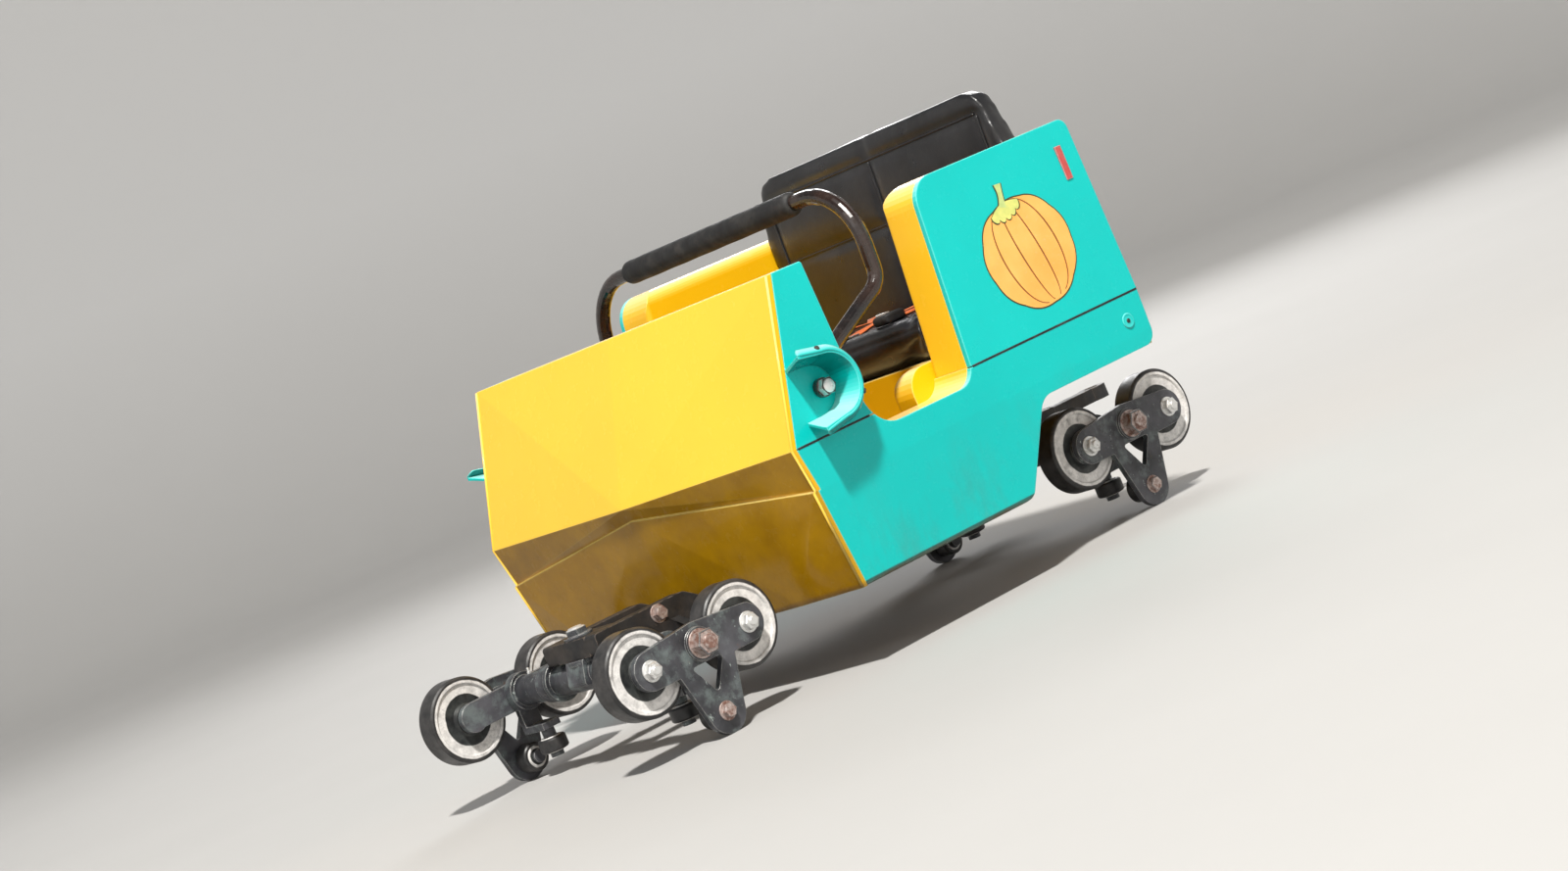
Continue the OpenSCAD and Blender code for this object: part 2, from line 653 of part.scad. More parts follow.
// Rollers. Each is turned about its own axis and bored for its bolt.
module running_wheel(x, s) {
    color("#202020") translate([x, s*tread_y, hub_z]) rotate([90, 0, 0]) rotate_extrude()
        polygon([[axle_r + fit, -wheel_w/2], [30, -wheel_w/2], [34, -wheel_w/2 + 6], [wheel_r - tyre_t - 2, -wheel_w/2 + 6],
                 [wheel_r - tyre_t, -wheel_w/2 + 2], [wheel_r - 4, -wheel_w/2 + 2], [wheel_r, -wheel_w/2 + 6],
                 [wheel_r, wheel_w/2 - 6], [wheel_r - 4, wheel_w/2 - 2], [wheel_r - tyre_t, wheel_w/2 - 2],
                 [wheel_r - tyre_t - 2, wheel_w/2 - 6], [34, wheel_w/2 - 6], [30, wheel_w/2], [axle_r + fit, wheel_w/2]]);
}
module roller(r, w, hole) {
    rotate_extrude()
        polygon([[hole, -w/2], [r - 10, -w/2], [r - 9, -w/2 + 2], [r - 3, -w/2 + 2], [r, -w/2 + 5],
                 [r, w/2 - 5], [r - 3, w/2 - 2], [r - 9, w/2 - 2], [r - 10, w/2], [hole, w/2]]);
}
module upstop(x, s) {
    color("#2a2a2a") translate([x, s*(plate_out - run_gap/2 - upstop_w/2), upstop_z])
        rotate([90, 0, 0]) roller(upstop_r, upstop_w, pin_r + fit);
}
module guide(x, s) {
    color("#2a2a2a") translate([x, s*guide_y, guide_top - guide_w/2]) roller(guide_r, guide_w, pin_r + fit);
}

chassis_frame();
front_cowl();
side_lower(1);  // side_lower_left
side_lower(-1);  // side_lower_right
front_post(1);  // front_post_left
front_post(-1);  // front_post_right
cheek(1);  // cheek_left
cheek(-1);  // cheek_right
cheek_liner(1);  // cheek_liner_left
cheek_liner(-1);  // cheek_liner_right
rear_bulkhead();
floor_pan();
seat_base();
seat_cushion();
seat_back();
seat_belts();
pivot_cover(1);  // pivot_cover_left
pivot_cover(-1);  // pivot_cover_right
side_reflectors();
drawbar();
lap_bar_frame();
lap_bar_pad();
axle_beam(front_king_x);  // front_axle_beam
carrier(front_king_x, 1);  // front_carrier_left
carrier(front_king_x, -1);  // front_carrier_right
axle_beam(rear_king_x);  // rear_axle_beam
carrier(rear_king_x, 1);  // rear_carrier_left
carrier(rear_king_x, -1);  // rear_carrier_right
running_wheel(front_king_x + wheel_gap/2, 1);  // front_wheel_left_1
running_wheel(front_king_x - wheel_gap/2, 1);  // front_wheel_left_2
running_wheel(front_king_x + wheel_gap/2, -1);  // front_wheel_right_1
running_wheel(front_king_x - wheel_gap/2, -1);  // front_wheel_right_2
running_wheel(rear_king_x + wheel_gap/2, 1);  // rear_wheel_left_1
running_wheel(rear_king_x - wheel_gap/2, 1);  // rear_wheel_left_2
running_wheel(rear_king_x + wheel_gap/2, -1);  // rear_wheel_right_1
running_wheel(rear_king_x - wheel_gap/2, -1);  // rear_wheel_right_2
upstop(front_king_x, 1);  // front_upstop_left
upstop(front_king_x, -1);  // front_upstop_right
upstop(rear_king_x, 1);  // rear_upstop_left
upstop(rear_king_x, -1);  // rear_upstop_right
guide(front_king_x, 1);  // front_guide_left
guide(front_king_x, -1);  // front_guide_right
guide(rear_king_x, 1);  // rear_guide_left
guide(rear_king_x, -1);  // rear_guide_right
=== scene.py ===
import bpy, bmesh, json, math
from mathutils import Vector, Matrix
from mathutils.bvhtree import BVHTree


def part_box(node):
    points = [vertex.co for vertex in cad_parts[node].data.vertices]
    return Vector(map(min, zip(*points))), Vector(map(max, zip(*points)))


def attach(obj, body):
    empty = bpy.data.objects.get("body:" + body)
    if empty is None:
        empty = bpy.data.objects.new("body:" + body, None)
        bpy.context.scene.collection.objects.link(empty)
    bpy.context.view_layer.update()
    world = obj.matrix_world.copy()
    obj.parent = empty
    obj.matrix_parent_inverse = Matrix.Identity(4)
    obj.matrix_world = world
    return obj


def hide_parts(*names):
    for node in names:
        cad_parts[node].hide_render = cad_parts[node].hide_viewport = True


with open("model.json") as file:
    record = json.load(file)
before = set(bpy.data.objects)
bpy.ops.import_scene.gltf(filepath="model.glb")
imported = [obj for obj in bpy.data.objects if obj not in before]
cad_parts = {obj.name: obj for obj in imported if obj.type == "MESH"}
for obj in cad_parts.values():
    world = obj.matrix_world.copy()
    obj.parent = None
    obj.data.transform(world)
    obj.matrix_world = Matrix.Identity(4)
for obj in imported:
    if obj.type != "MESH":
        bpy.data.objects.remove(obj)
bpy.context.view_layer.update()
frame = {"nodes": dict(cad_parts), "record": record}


def link(name, data):
    """A new object in the scene."""
    ob = bpy.data.objects.new(name, data)
    bpy.context.scene.collection.objects.link(ob)
    return ob


# Camera: place and direction solved from the photograph
EYE = Vector((4.465, 5.685, 0.838))
FORWARD = Vector((-0.5014, -0.8584, 0.1085)).normalized()
ROLL = math.radians(23.106)
FOCAL = 1596                # the photograph's focal length, in its pixels
MIDDLE = (800, 444.5)       # the photograph's middle, in its pixels
AIM = (1108, 600)           # the place in the photograph that the camera points at
LENS, SENSOR = 80.0, 36.0   # in millimetres


def add_camera():
    """A camera at the photograph's eye, which points at the car's middle."""
    right = FORWARD.cross(Vector((0, 0, 1))).normalized()
    up = right.cross(FORWARD).normalized()
    img_right = right * math.cos(ROLL) - up * math.sin(ROLL)
    img_up = right * math.sin(ROLL) + up * math.cos(ROLL)
    look = (FORWARD * FOCAL + img_right * (AIM[0] - MIDDLE[0]) - img_up * (AIM[1] - MIDDLE[1])).normalized()
    across = (img_right - look * img_right.dot(look)).normalized()
    above = across.cross(look).normalized()
    place = Matrix((across, above, -look)).transposed().to_4x4()
    place.translation = EYE
    data = bpy.data.cameras.new("camera")
    data.lens = LENS
    data.sensor_width = SENSOR
    data.clip_end = 100
    cam = link("camera", data)
    cam.matrix_world = place
    bpy.context.scene.camera = cam


add_camera()
bpy.context.scene.view_settings.view_transform = "Standard"


# Materials: a small builder for node trees
class Look:
    """A material, with short names for the nodes that it is made of."""

    def __init__(self, name):
        self.mat = bpy.data.materials.new(name)
        self.mat.use_nodes = True
        self.nt = self.mat.node_tree
        self.bsdf = self.nt.nodes["Principled BSDF"]
        self.obj = self.add("ShaderNodeTexCoord").outputs["Object"]

    def add(self, kind, **props):
        n = self.nt.nodes.new(kind)
        for k, v in props.items():
            setattr(n, k, v)
        return n

    def put(self, socket, value):
        """Links a socket to another one, or sets its plain value."""
        if hasattr(value, "is_output"):
            self.nt.links.new(value, socket)
        elif isinstance(value, tuple) and len(value) == 3 and socket.type == "RGBA":
            socket.default_value = (*value, 1)
        else:
            socket.default_value = value

    def set(self, **values):
        """Sets the shader's inputs, with underscores for the spaces in their names."""
        for k, v in values.items():
            self.put(self.bsdf.inputs[k.replace("_", " ")], v)

    def math(self, op, a, b=0.0, c=0.0):
        n = self.add("ShaderNodeMath", operation=op)
        for s, v in zip(n.inputs, (a, b, c)):
            self.put(s, v)
        return n.outputs[0]

    def times(self, a, b):
        return self.math("MULTIPLY", a, b)

    def waves(self, v, pitch):
        """A sine wave along a value, from -1 to 1."""
        return self.math("SINE", self.times(v, 2 * math.pi / pitch))

    def vec(self, op, a, b):
        n = self.add("ShaderNodeVectorMath", operation=op)
        self.put(n.inputs[0], a)
        self.put(n.inputs[1], b)
        return n.outputs["Value" if op == "DOT_PRODUCT" else 0]

    def xyz(self, v=None):
        n = self.add("ShaderNodeSeparateXYZ")
        self.put(n.inputs[0], v or self.obj)
        return n.outputs

    def normal(self):
        return self.add("ShaderNodeNewGeometry").outputs["Normal"]

    def noise(self, scale, detail, rough=0.55, stretch=None):
        n = self.add("ShaderNodeTexNoise")
        self.put(n.inputs["Vector"], self.vec("MULTIPLY", self.obj, stretch) if stretch else self.obj)
        n.inputs["Scale"].default_value = scale
        n.inputs["Detail"].default_value = detail
        n.inputs["Roughness"].default_value = rough
        return n.outputs[0]

    def cells(self, scale):
        n = self.add("ShaderNodeTexVoronoi", feature="F1")
        self.put(n.inputs["Vector"], self.obj)
        n.inputs["Scale"].default_value = scale
        return n.outputs["Distance"]

    def span(self, v, a, b, lo=0.0, hi=1.0):
        """A value between a and b, turned into one between lo and hi."""
        n = self.add("ShaderNodeMapRange", clamp=True)
        for s, x in zip(n.inputs, (v, a, b, lo, hi)):
            self.put(s, x)
        return n.outputs[0]

    def patches(self, scale, detail, a, b, lo=0.0, hi=1.0, rough=0.55, stretch=None):
        """Noise between a and b, turned into a value between lo and hi."""
        return self.span(self.noise(scale, detail, rough, stretch), a, b, lo, hi)

    def mix(self, fac, a, b):
        n = self.add("ShaderNodeMix", data_type="RGBA")
        for s, v in zip((n.inputs[0], n.inputs[6], n.inputs[7]), (fac, a, b)):
            self.put(s, v)
        return n.outputs[2]

    def bump(self, height, strength, distance, normal=None):
        n = self.add("ShaderNodeBump")
        n.inputs["Strength"].default_value = strength
        n.inputs["Distance"].default_value = distance
        self.put(n.inputs["Height"], height)
        if normal:
            self.put(n.inputs["Normal"], normal)
        return n.outputs[0]

    def round_edges(self, radius):
        n = self.add("ShaderNodeBevel", samples=4)
        n.inputs["Radius"].default_value = radius
        return n.outputs[0]

    def edge(self, rounded, a=0.995, b=0.90):
        """1 where the rounded normal leaves the true one, so along edges."""
        return self.span(self.vec("DOT_PRODUCT", rounded, self.normal()), a, b)


MUD, FOOT_BROWN = (0.11, 0.065, 0.022), (0.10, 0.055, 0.025)
FOOT_Z = 0.156              # foot of the shell, where the dark brown band is full


def gelcoat(name, colour, shade, edge_highlight, painted_shade_and_grime, under_at, painted_top_highlight):
    """Glossy fibreglass: a painted highlight that makes what faces up paler, painted highlights along the
    edges, dirt low down and painted shade on what faces the ground.

    under_at: how far a face looks down where the painted shade starts and where it is full."""
    k = Look(name)
    z = k.xyz()[2]
    facing = k.xyz(k.normal())[2]
    col = k.mix(k.patches(2.2, 4, 0.32, 0.68), colour, shade)
    # Painted highlight: faces that look up turn towards a paler colour, in place of the sky's reflection on
    # them.
    top_highlight_mask = k.math("ADD", k.span(facing, 0.0, 0.30, 0, 0.075), k.span(facing, 0.40, 0.90, 0, 0.45))
    col = k.mix(top_highlight_mask, col, painted_top_highlight)
    mottle = k.patches(6, 6, 0.30, 0.72, 0.72, 1.0, rough=0.68)
    # Painted shade: faces that look down are darkened, with a mottle.
    col = k.mix(k.times(k.span(facing, *under_at), mottle), col, painted_shade_and_grime)
    smear = k.patches(9, 6, 0.50, 0.78, 0, 0.35, rough=0.7, stretch=(1, 1, 0.35))
    dirt = k.times(k.span(z, 0.40, 0.15), smear)
    col = k.mix(dirt, col, MUD)
    # A dark brown band along the foot of the shell.
    foot = k.times(k.span(z, FOOT_Z + 0.008, FOOT_Z), k.patches(14, 4, 0.25, 0.6, 0.35, 0.9))
    rounded_normal = k.round_edges(0.004)
    # Painted highlight along the rounded edges.
    col = k.mix(k.times(k.edge(rounded_normal), 0.8), col, edge_highlight)
    col = k.mix(foot, col, FOOT_BROWN)
    scuff = k.patches(34, 5, 0.5, 0.75, rough=0.65)
    rough = k.math("MULTIPLY_ADD", scuff, 0.14, k.math("MULTIPLY_ADD", dirt, 0.4, 0.22))
    k.set(Base_Color=col, Roughness=rough, Normal=k.bump(k.noise(75, 2), 0.08, 0.0006, rounded_normal),
          Specular_IOR_Level=0.22, Coat_Weight=0.14, Coat_Roughness=0.05)
    return k.mat


def vinyl(name):
    """Black upholstery vinyl: fine pebble grain with soft wrinkles and a satin sheen."""
    k = Look(name)
    tone = k.mix(k.patches(7, 4, 0.35, 0.7), (0.006, 0.006, 0.0075), (0.019, 0.019, 0.022))
    dust = k.patches(60, 5, 0.55, 0.8, 0, 0.28, rough=0.7)
    grain = k.bump(k.cells(520), 0.35, 0.0006)
    k.set(Base_Color=k.mix(dust, tone, (0.06, 0.055, 0.05)),
          Roughness=k.patches(18, 4, 0.3, 0.7, 0.26, 0.44),
          Normal=k.bump(k.noise(26, 4, 0.5), 0.25, 0.004, grain),
          Coat_Weight=0.25, Coat_Roughness=0.22)
    return k.mat


def webbing(name):
    """Orange belt webbing: lengthwise ribs crossed by a fine weave, duller and a little grey in patches,
    with painted shade in the grooves of the weave.
    """
    k = Look(name)
    x, y, _ = k.xyz()
    h = k.math("ADD", k.times(k.waves(y, 0.0062), 0.6), k.times(k.waves(x, 0.0021), 0.4))
    tone = k.mix(k.patches(14, 4, 0.3, 0.7), (0.80, 0.16, 0.012), (0.60, 0.12, 0.02))
    # Painted shade: the low grooves of the weave are darkened.
    col = k.mix(k.span(h, -1, 0.6, 0.45, 0.0), tone, (0.16, 0.03, 0.006))
    k.set(Base_Color=col, Roughness=0.78, Normal=k.bump(h, 0.8, 0.0005), Sheen_Weight=0.25)
    return k.mat


def foam(name):
    """Closed-cell foam with a skin: pores, dull sheen, rubbed grey in patches."""
    k = Look(name)
    rubbed = k.patches(22, 5, 0.48, 0.8, rough=0.7)
    pores = k.bump(k.cells(900), 0.5, 0.0005)
    k.set(Base_Color=k.mix(rubbed, (0.009, 0.009, 0.010), (0.05, 0.046, 0.042)),
          Roughness=k.patches(30, 3, 0.3, 0.7, 0.5, 0.72),
          Normal=k.bump(k.noise(45, 3), 0.3, 0.002, pores))
    return k.mat


def painted_bar(name):
    """Glossy brown-black paint on tube, rubbed through in small chips and at the edges."""
    k = Look(name)
    rounded_normal = k.round_edges(0.0015)
    chips = k.patches(70, 6, 0.64, 0.68, rough=0.75)
    worn = k.math("MAXIMUM", k.times(k.edge(rounded_normal, 0.99, 0.8), 0.5), k.times(chips, 0.35))
    tone = k.mix(k.patches(12, 4, 0.35, 0.75), (0.008, 0.006, 0.0055), (0.030, 0.014, 0.009))
    k.set(Base_Color=k.mix(worn, tone, (0.22, 0.13, 0.09)),
          Roughness=k.patches(40, 4, 0.3, 0.7, 0.16, 0.36), Metallic=k.times(worn, 0.6),
          Normal=k.bump(k.noise(140, 3), 0.10, 0.0005, rounded_normal), Coat_Weight=0.6, Coat_Roughness=0.08)
    return k.mat


def greasy_steel(name):
    """Black castings under grease: blue-grey patches, green-grey scrapes, bright edges, some rust."""
    k = Look(name)
    rounded_normal = k.round_edges(0.003)
    painted_shade_and_grime = k.patches(8, 5, 0.35, 0.7, rough=0.6)
    col = k.mix(painted_shade_and_grime, (0.020, 0.021, 0.025), (0.098, 0.098, 0.112))
    patch = k.patches(19, 6, 0.50, 0.64, rough=0.72)
    col = k.mix(k.times(patch, 0.55), col, (0.17, 0.21, 0.205))
    scrape = k.patches(60, 6, 0.62, 0.68, rough=0.8, stretch=(1, 1, 0.5))
    col = k.mix(k.times(scrape, 0.8), col, (0.46, 0.54, 0.51))
    rust = k.patches(33, 6, 0.62, 0.72, rough=0.78)
    col = k.mix(k.times(rust, 0.6), col, (0.13, 0.060, 0.035))
    worn = k.times(k.edge(rounded_normal, 0.99, 0.75), k.patches(70, 4, 0.30, 0.55, rough=0.6))
    col = k.mix(k.times(worn, 0.9), col, (0.52, 0.52, 0.50))
    k.set(Base_Color=col, Roughness=k.patches(26, 5, 0.3, 0.72, 0.24, 0.60, rough=0.7),
          Metallic=k.times(worn, 0.7), Normal=k.bump(k.noise(160, 4, 0.7), 0.4, 0.0008, rounded_normal))
    return k.mat


def frame_paint(name):
    """Black chassis paint: satin, dusty, chipped at the corners."""
    k = Look(name)
    rounded_normal = k.round_edges(0.003)
    dust = k.patches(13, 6, 0.42, 0.75, 0, 0.6, rough=0.7)
    col = k.mix(dust, (0.012, 0.012, 0.013), (0.085, 0.065, 0.05))
    chip = k.times(k.edge(rounded_normal, 0.99, 0.8), k.patches(90, 3, 0.4, 0.6))
    col = k.mix(k.times(chip, 0.8), col, (0.26, 0.20, 0.16))
    k.set(Base_Color=col, Roughness=k.patches(24, 4, 0.3, 0.7, 0.35, 0.7),
          Normal=k.bump(k.noise(120, 3), 0.2, 0.0005, rounded_normal))
    return k.mat


def bolt_steel(name, scale, clean, stained, bare, brown):
    """Plated bolt heads: bare metal with stains of one scale, between two levels of noise."""
    k = Look(name)
    stain = k.patches(scale, 5, clean, stained, rough=0.7)
    k.set(Base_Color=k.mix(stain, bare, brown), Metallic=k.span(stain, 0, 1, 0.70, 0.15),
          Roughness=k.patches(140, 3, 0.3, 0.7, 0.30, 0.5),
          Normal=k.bump(k.noise(300, 3), 0.15, 0.0002))
    return k.mat


def wheel_look(name, middle, r_tyre, r_rim, axis):
    """A roller, by distance from its axle: dark disc, pale worn tyre side, black shoulder, ringed tread."""
    k = Look(name)
    x, y, z = k.xyz(k.vec("SUBTRACT", k.obj, middle))
    a, b = (x, z) if axis == "Y" else (x, y)
    r = k.math("SQRT", k.math("ADD", k.times(a, a), k.times(b, b)))
    uneven = k.math("ADD", r, k.math("MULTIPLY_ADD", k.noise(40, 3), 0.004, -0.002))
    soft, shoulder = 0.0018, r_tyre - 0.009
    disc = k.mix(k.patches(30, 5, 0.4, 0.7, rough=0.7), (0.010, 0.011, 0.012), (0.055, 0.06, 0.058))
    side = k.mix(k.patches(55, 5, 0.36, 0.72, rough=0.7), (0.80, 0.78, 0.76), (0.42, 0.41, 0.40))
    tread = k.mix(k.patches(24, 5, 0.4, 0.7, rough=0.7), (0.014, 0.014, 0.015), (0.06, 0.056, 0.055))
    col = k.mix(k.span(uneven, r_rim, r_rim + soft), disc, tread)
    pale = k.times(k.span(uneven, r_rim - soft, r_rim), k.span(uneven, shoulder + soft, shoulder))
    col = k.mix(pale, col, side)
    grease = k.patches(16, 5, 0.60, 0.72, 0, 0.6, rough=0.7)
    col = k.mix(grease, col, (0.018, 0.017, 0.016))
    h = k.math("ADD", k.times(k.waves(r, 0.0032), 0.25), k.noise(90, 4))
    k.set(Base_Color=col, Roughness=k.patches(28, 4, 0.3, 0.7, 0.28, 0.6),
          Normal=k.bump(h, 0.22, 0.0006, k.round_edges(0.003)))
    return k.mat


def reflector(name):
    """Faded red lens: a fine pyramid pattern under a clear face, with a pale worn edge."""
    k = Look(name)
    rounded_normal = k.round_edges(0.0022)
    x, _, z = k.xyz()
    g = k.times(k.waves(x, 0.003), k.waves(z, 0.003))
    col = k.mix(k.span(g, -0.8, 0.9), (0.42, 0.040, 0.038), (0.66, 0.085, 0.075))
    col = k.mix(k.patches(60, 4, 0.5, 0.75, 0, 0.3), col, (0.45, 0.25, 0.20))
    k.set(Base_Color=k.mix(k.edge(rounded_normal, 0.99, 0.85), col, (0.86, 0.62, 0.62)), Roughness=0.22,
          Normal=k.bump(g, 0.4, 0.0004, rounded_normal), Coat_Weight=0.6)
    return k.mat


def printed(name, a, b, scale=24):
    """Vinyl print of a sticker: two near tones, a little scuffed."""
    k = Look(name)
    col = k.mix(k.patches(scale, 4, 0.35, 0.65), a, b)
    col = k.mix(k.patches(180, 4, 0.6, 0.75, 0, 0.35, rough=0.7), col, (0.7, 0.62, 0.5))
    k.set(Base_Color=col, Roughness=k.patches(50, 4, 0.3, 0.7, 0.28, 0.44),
          Normal=k.bump(k.noise(120, 2), 0.08, 0.0004))
    return k.mat


# In each shell below, the colours after the first two are painted light: a highlight along the edges, shade
# on what faces down, and a paler top.
M = {
    "shell_teal": gelcoat(
        "shell_teal", colour=(0.0, 0.55, 0.51), shade=(0.0, 0.49, 0.46), edge_highlight=(0.20, 0.86, 0.80),
        painted_shade_and_grime=(0.0, 0.16, 0.15), under_at=(-0.12, -0.40), painted_top_highlight=(0.60, 0.97, 0.93)),
    "shell_yellow": gelcoat(
        "shell_yellow", colour=(0.92, 0.52, 0.007), shade=(0.89, 0.48, 0.005), edge_highlight=(1.0, 0.82, 0.24),
        painted_shade_and_grime=(0.225, 0.108, 0.0), under_at=(-0.02, -0.13), painted_top_highlight=(1.0, 0.84, 0.50)),
    "vinyl_black": vinyl("vinyl_black"),
    "belt_orange": webbing("belt_orange"),
    "reflector_red": reflector("reflector_red"),
    "frame_steel": frame_paint("frame_steel"),
    "bar_steel": painted_bar("bar_steel"),
    "foam_black": foam("foam_black"),
    "bogie_steel": greasy_steel("bogie_steel"),
    "sealant": foam("sealant"),
    "zinc": bolt_steel("zinc_bolts", 90, 0.55, 0.72, (0.74, 0.74, 0.73), (0.24, 0.21, 0.18)),
    "rusty": bolt_steel("rusty_bolts", 75, 0.40, 0.60, (0.56, 0.48, 0.45), (0.20, 0.105, 0.080)),
}


# Stage and light
FLOOR_R, BEND_R, WALL_TOP = 11.0, 5.0, 13.0     # flat floor, its bend into the wall, top of the wall
FLOOR_RINGS, BEND_RINGS, FLOOR_TURNS = 6, 12, 96


def stage_floor():
    """A pale round floor that turns up into a far wall, so that no edge shows from any side."""
    rings = [(FLOOR_R * i / FLOOR_RINGS, 0) for i in range(1, FLOOR_RINGS + 1)]
    bend = [math.pi / 2 * i / BEND_RINGS for i in range(1, BEND_RINGS + 1)]
    rings += [(FLOOR_R + BEND_R * math.sin(a), BEND_R - BEND_R * math.cos(a)) for a in bend]
    rings.append((FLOOR_R + BEND_R, WALL_TOP))
    turns = [2 * math.pi * i / FLOOR_TURNS for i in range(FLOOR_TURNS)]
    verts, faces = [(0, 0, 0)], []
    for r, z in rings:
        verts += [(r * math.cos(a), r * math.sin(a), z) for a in turns]
    for i in range(FLOOR_TURNS):
        j = (i + 1) % FLOOR_TURNS
        faces.append((0, 1 + i, 1 + j))
        for k in range(len(rings) - 1):
            a = 1 + k * FLOOR_TURNS
            b = a + FLOOR_TURNS
            faces.append((a + i, b + i, b + j, a + j))
    me = bpy.data.meshes.new("floor")
    me.from_pydata(verts, [], faces)
    for p in me.polygons:
        p.use_smooth = True
    ob = link("floor", me)
    k = Look("floor_paint")
    grey = k.mix(k.noise(1.4, 4), (0.405, 0.40, 0.392), (0.43, 0.425, 0.417))
    k.set(Base_Color=k.mix(k.span(k.xyz()[2], 0.0, 2.0), grey, (0.52, 0.52, 0.52)), Roughness=0.85)
    me.materials.append(k.mat)


def area(name, at, to, size, power, color=(1, 1, 1)):
    """A square area light at one place that shines towards another."""
    data = bpy.data.lights.new(name, "AREA")
    data.shape = "RECTANGLE"
    data.size = data.size_y = size
    data.energy = power
    data.color = color
    ob = link(name, data)
    ob.location = at
    ob.rotation_euler = (Vector(to) - Vector(at)).to_track_quat("-Z", "Y").to_euler()


stage_floor()
world = bpy.data.worlds.new("world")
bpy.context.scene.world = world
world.use_nodes = True
sky = world.node_tree.nodes["Background"]
sky.inputs[0].default_value = (0.86, 0.92, 1.0, 1)
sky.inputs[1].default_value = 0.15

area("key", (5.4, 8.8, 16.4), (0, 0, 0.4), 1.3, 5700, (1, 0.97, 0.92))
area("fill", (6.0, 0.5, 3.2), (0, 0, 0.4), 3, 25, (0.95, 0.97, 1))
area("back", (-4.5, -4.0, 3.5), (0, 0, 0.5), 3, 170)

# Materials on the CAD nodes
slots = {s["node"]: s["material_slot"] for s in frame["record"]["subparts"]}
TYRE, SMALL_TYRE = 0.034, 0.012     # thickness of the tyre on a running wheel and on a small roller


def box(node):
    lo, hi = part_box(node)
    return Vector(lo), Vector(hi)


for n, ob in frame["nodes"].items():
    mat = M.get(slots[n])
    if slots[n] in ("wheel_black", "roller_black"):
        lo, hi = box(n)
        r = (hi.x - lo.x) / 2
        tyre = TYRE if "_wheel_" in n else SMALL_TYRE
        mat = wheel_look(n + "_look", tuple((lo + hi) / 2), r, r - tyre, "Z" if "_guide_" in n else "Y")
    if not ob.material_slots:
        ob.data.materials.append(mat)
    for ms in ob.material_slots:
        ms.material = mat


# Mesh helpers
def piece(name, verts, faces, mat, body, smooth=True):
    """A mesh object that rides on a body and has one material."""
    me = bpy.data.meshes.new(name)
    me.from_pydata([tuple(v) for v in verts], [], faces)
    me.validate()
    bm = bmesh.new()
    bm.from_mesh(me)
    bmesh.ops.recalc_face_normals(bm, faces=bm.faces)
    bm.to_mesh(me)
    bm.free()
    for p in me.polygons:
        p.use_smooth = smooth
    me.materials.append(mat)
    ob = link(name, me)
    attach(ob, body)
    return ob


def round_turns(sides):
    return [2 * math.pi * i / sides for i in range(sides)]


class Build:
    """Collects several solids into one mesh."""

    def __init__(self):
        self.v, self.f = [], []

    def loft(self, rings):
        """A solid through rings of points, with a flat cap at each end."""
        n, m, base = len(rings[0]), len(rings), len(self.v)
        for r in rings:
            self.v += [Vector(p) for p in r]
        for i in range(m - 1):
            a = base + i * n
            b = a + n
            self.f += [(a + k, a + (k + 1) % n, b + (k + 1) % n, b + k) for k in range(n)]
        self.f.append(tuple(range(base + n - 1, base - 1, -1)))
        self.f.append(tuple(range(base + (m - 1) * n, base + m * n)))

    def turned(self, at, axis, rows, sides):
        """Rows of (distance along axis, radius): a turned part, or a six-sided one with 6 sides."""
        w = Vector(axis).normalized()
        u = w.orthogonal().normalized() if abs(w.x) > 0.5 else Vector((1, 0, 0))
        t = w.cross(u)
        turns = round_turns(sides)
        self.loft([[Vector(at) + w * h + (u * math.cos(a) + t * math.sin(a)) * r for a in turns]
                   for h, r in rows])

    def tube(self, pts, r, sides):
        """A round bar along points, without a twist."""
        pts = [Vector(p) for p in pts]
        last, side, rings = len(pts) - 1, None, []
        for i, p in enumerate(pts):
            t = (pts[min(i + 1, last)] - pts[max(i - 1, 0)]).normalized()
            side = side or t.orthogonal().normalized()
            side = (side - t * side.dot(t)).normalized()
            w = t.cross(side)
            rings.append([p + (side * math.cos(a) + w * math.sin(a)) * r for a in round_turns(sides)])
        self.loft(rings)

    def done(self, name, mat, body, slot, smooth=True):
        return piece(name, self.v, self.f, mat, body, smooth)


def smoothed(values, reach, zero):
    """The mean of each value and its neighbours up to a reach."""
    near = [values[max(i - reach, 0):i + reach + 1] for i in range(len(values))]
    return [sum(part, zero) / len(part) for part in near]


def skin_of(ob, way):
    """A function that gives the point where a ray along one way meets a piece or a CAD node, or None."""
    bpy.context.view_layer.update()
    way = Vector(way).normalized()
    tree = BVHTree.FromObject(ob, bpy.context.evaluated_depsgraph_get())
    return lambda start: tree.ray_cast(Vector(start), way)[0]


BODY = "body"
CHINE_Y, CHINE_Z = 0.540, 0.446     # the car's widest line, where the cheeks stand on the lower sides
TOP_Y, TOP_Z = 0.532, 0.828         # top of the cheeks
CREASE_Y, CREASE_Z = 0.536, 0.358   # lower crease of the sides


def side_y(z):
    """Outer face of the sides above the chine."""
    return CHINE_Y - (CHINE_Y - TOP_Y) * (z - CHINE_Z) / (TOP_Z - CHINE_Z)


def side_low_y(z):
    """Outer face of the sides between the crease and the chine."""
    return CREASE_Y + (CHINE_Y - CREASE_Y) * (z - CREASE_Z) / (CHINE_Z - CREASE_Z)


# Upholstery: each pad is its CAD solid, blown up by a short cloth run between its sewn seams
VOXEL = 0.011               # cell of the pads' new mesh
SHRINK = 0.004              # how much the pad is drawn in before it is blown up
PRESSURE, CLOTH_FRAMES = 5.0, 20
INSIDE = 0.0005             # how far the pad stays inside its solid's box
FRONT_ROOM = 0.006          # how far the pad may swell past that box towards the front


def as_mesh(ob):
    """Puts the object's modifiers into its mesh."""
    new = bpy.data.meshes.new_from_object(ob.evaluated_get(bpy.context.evaluated_depsgraph_get()))
    ob.modifiers.clear()
    ob.data = new


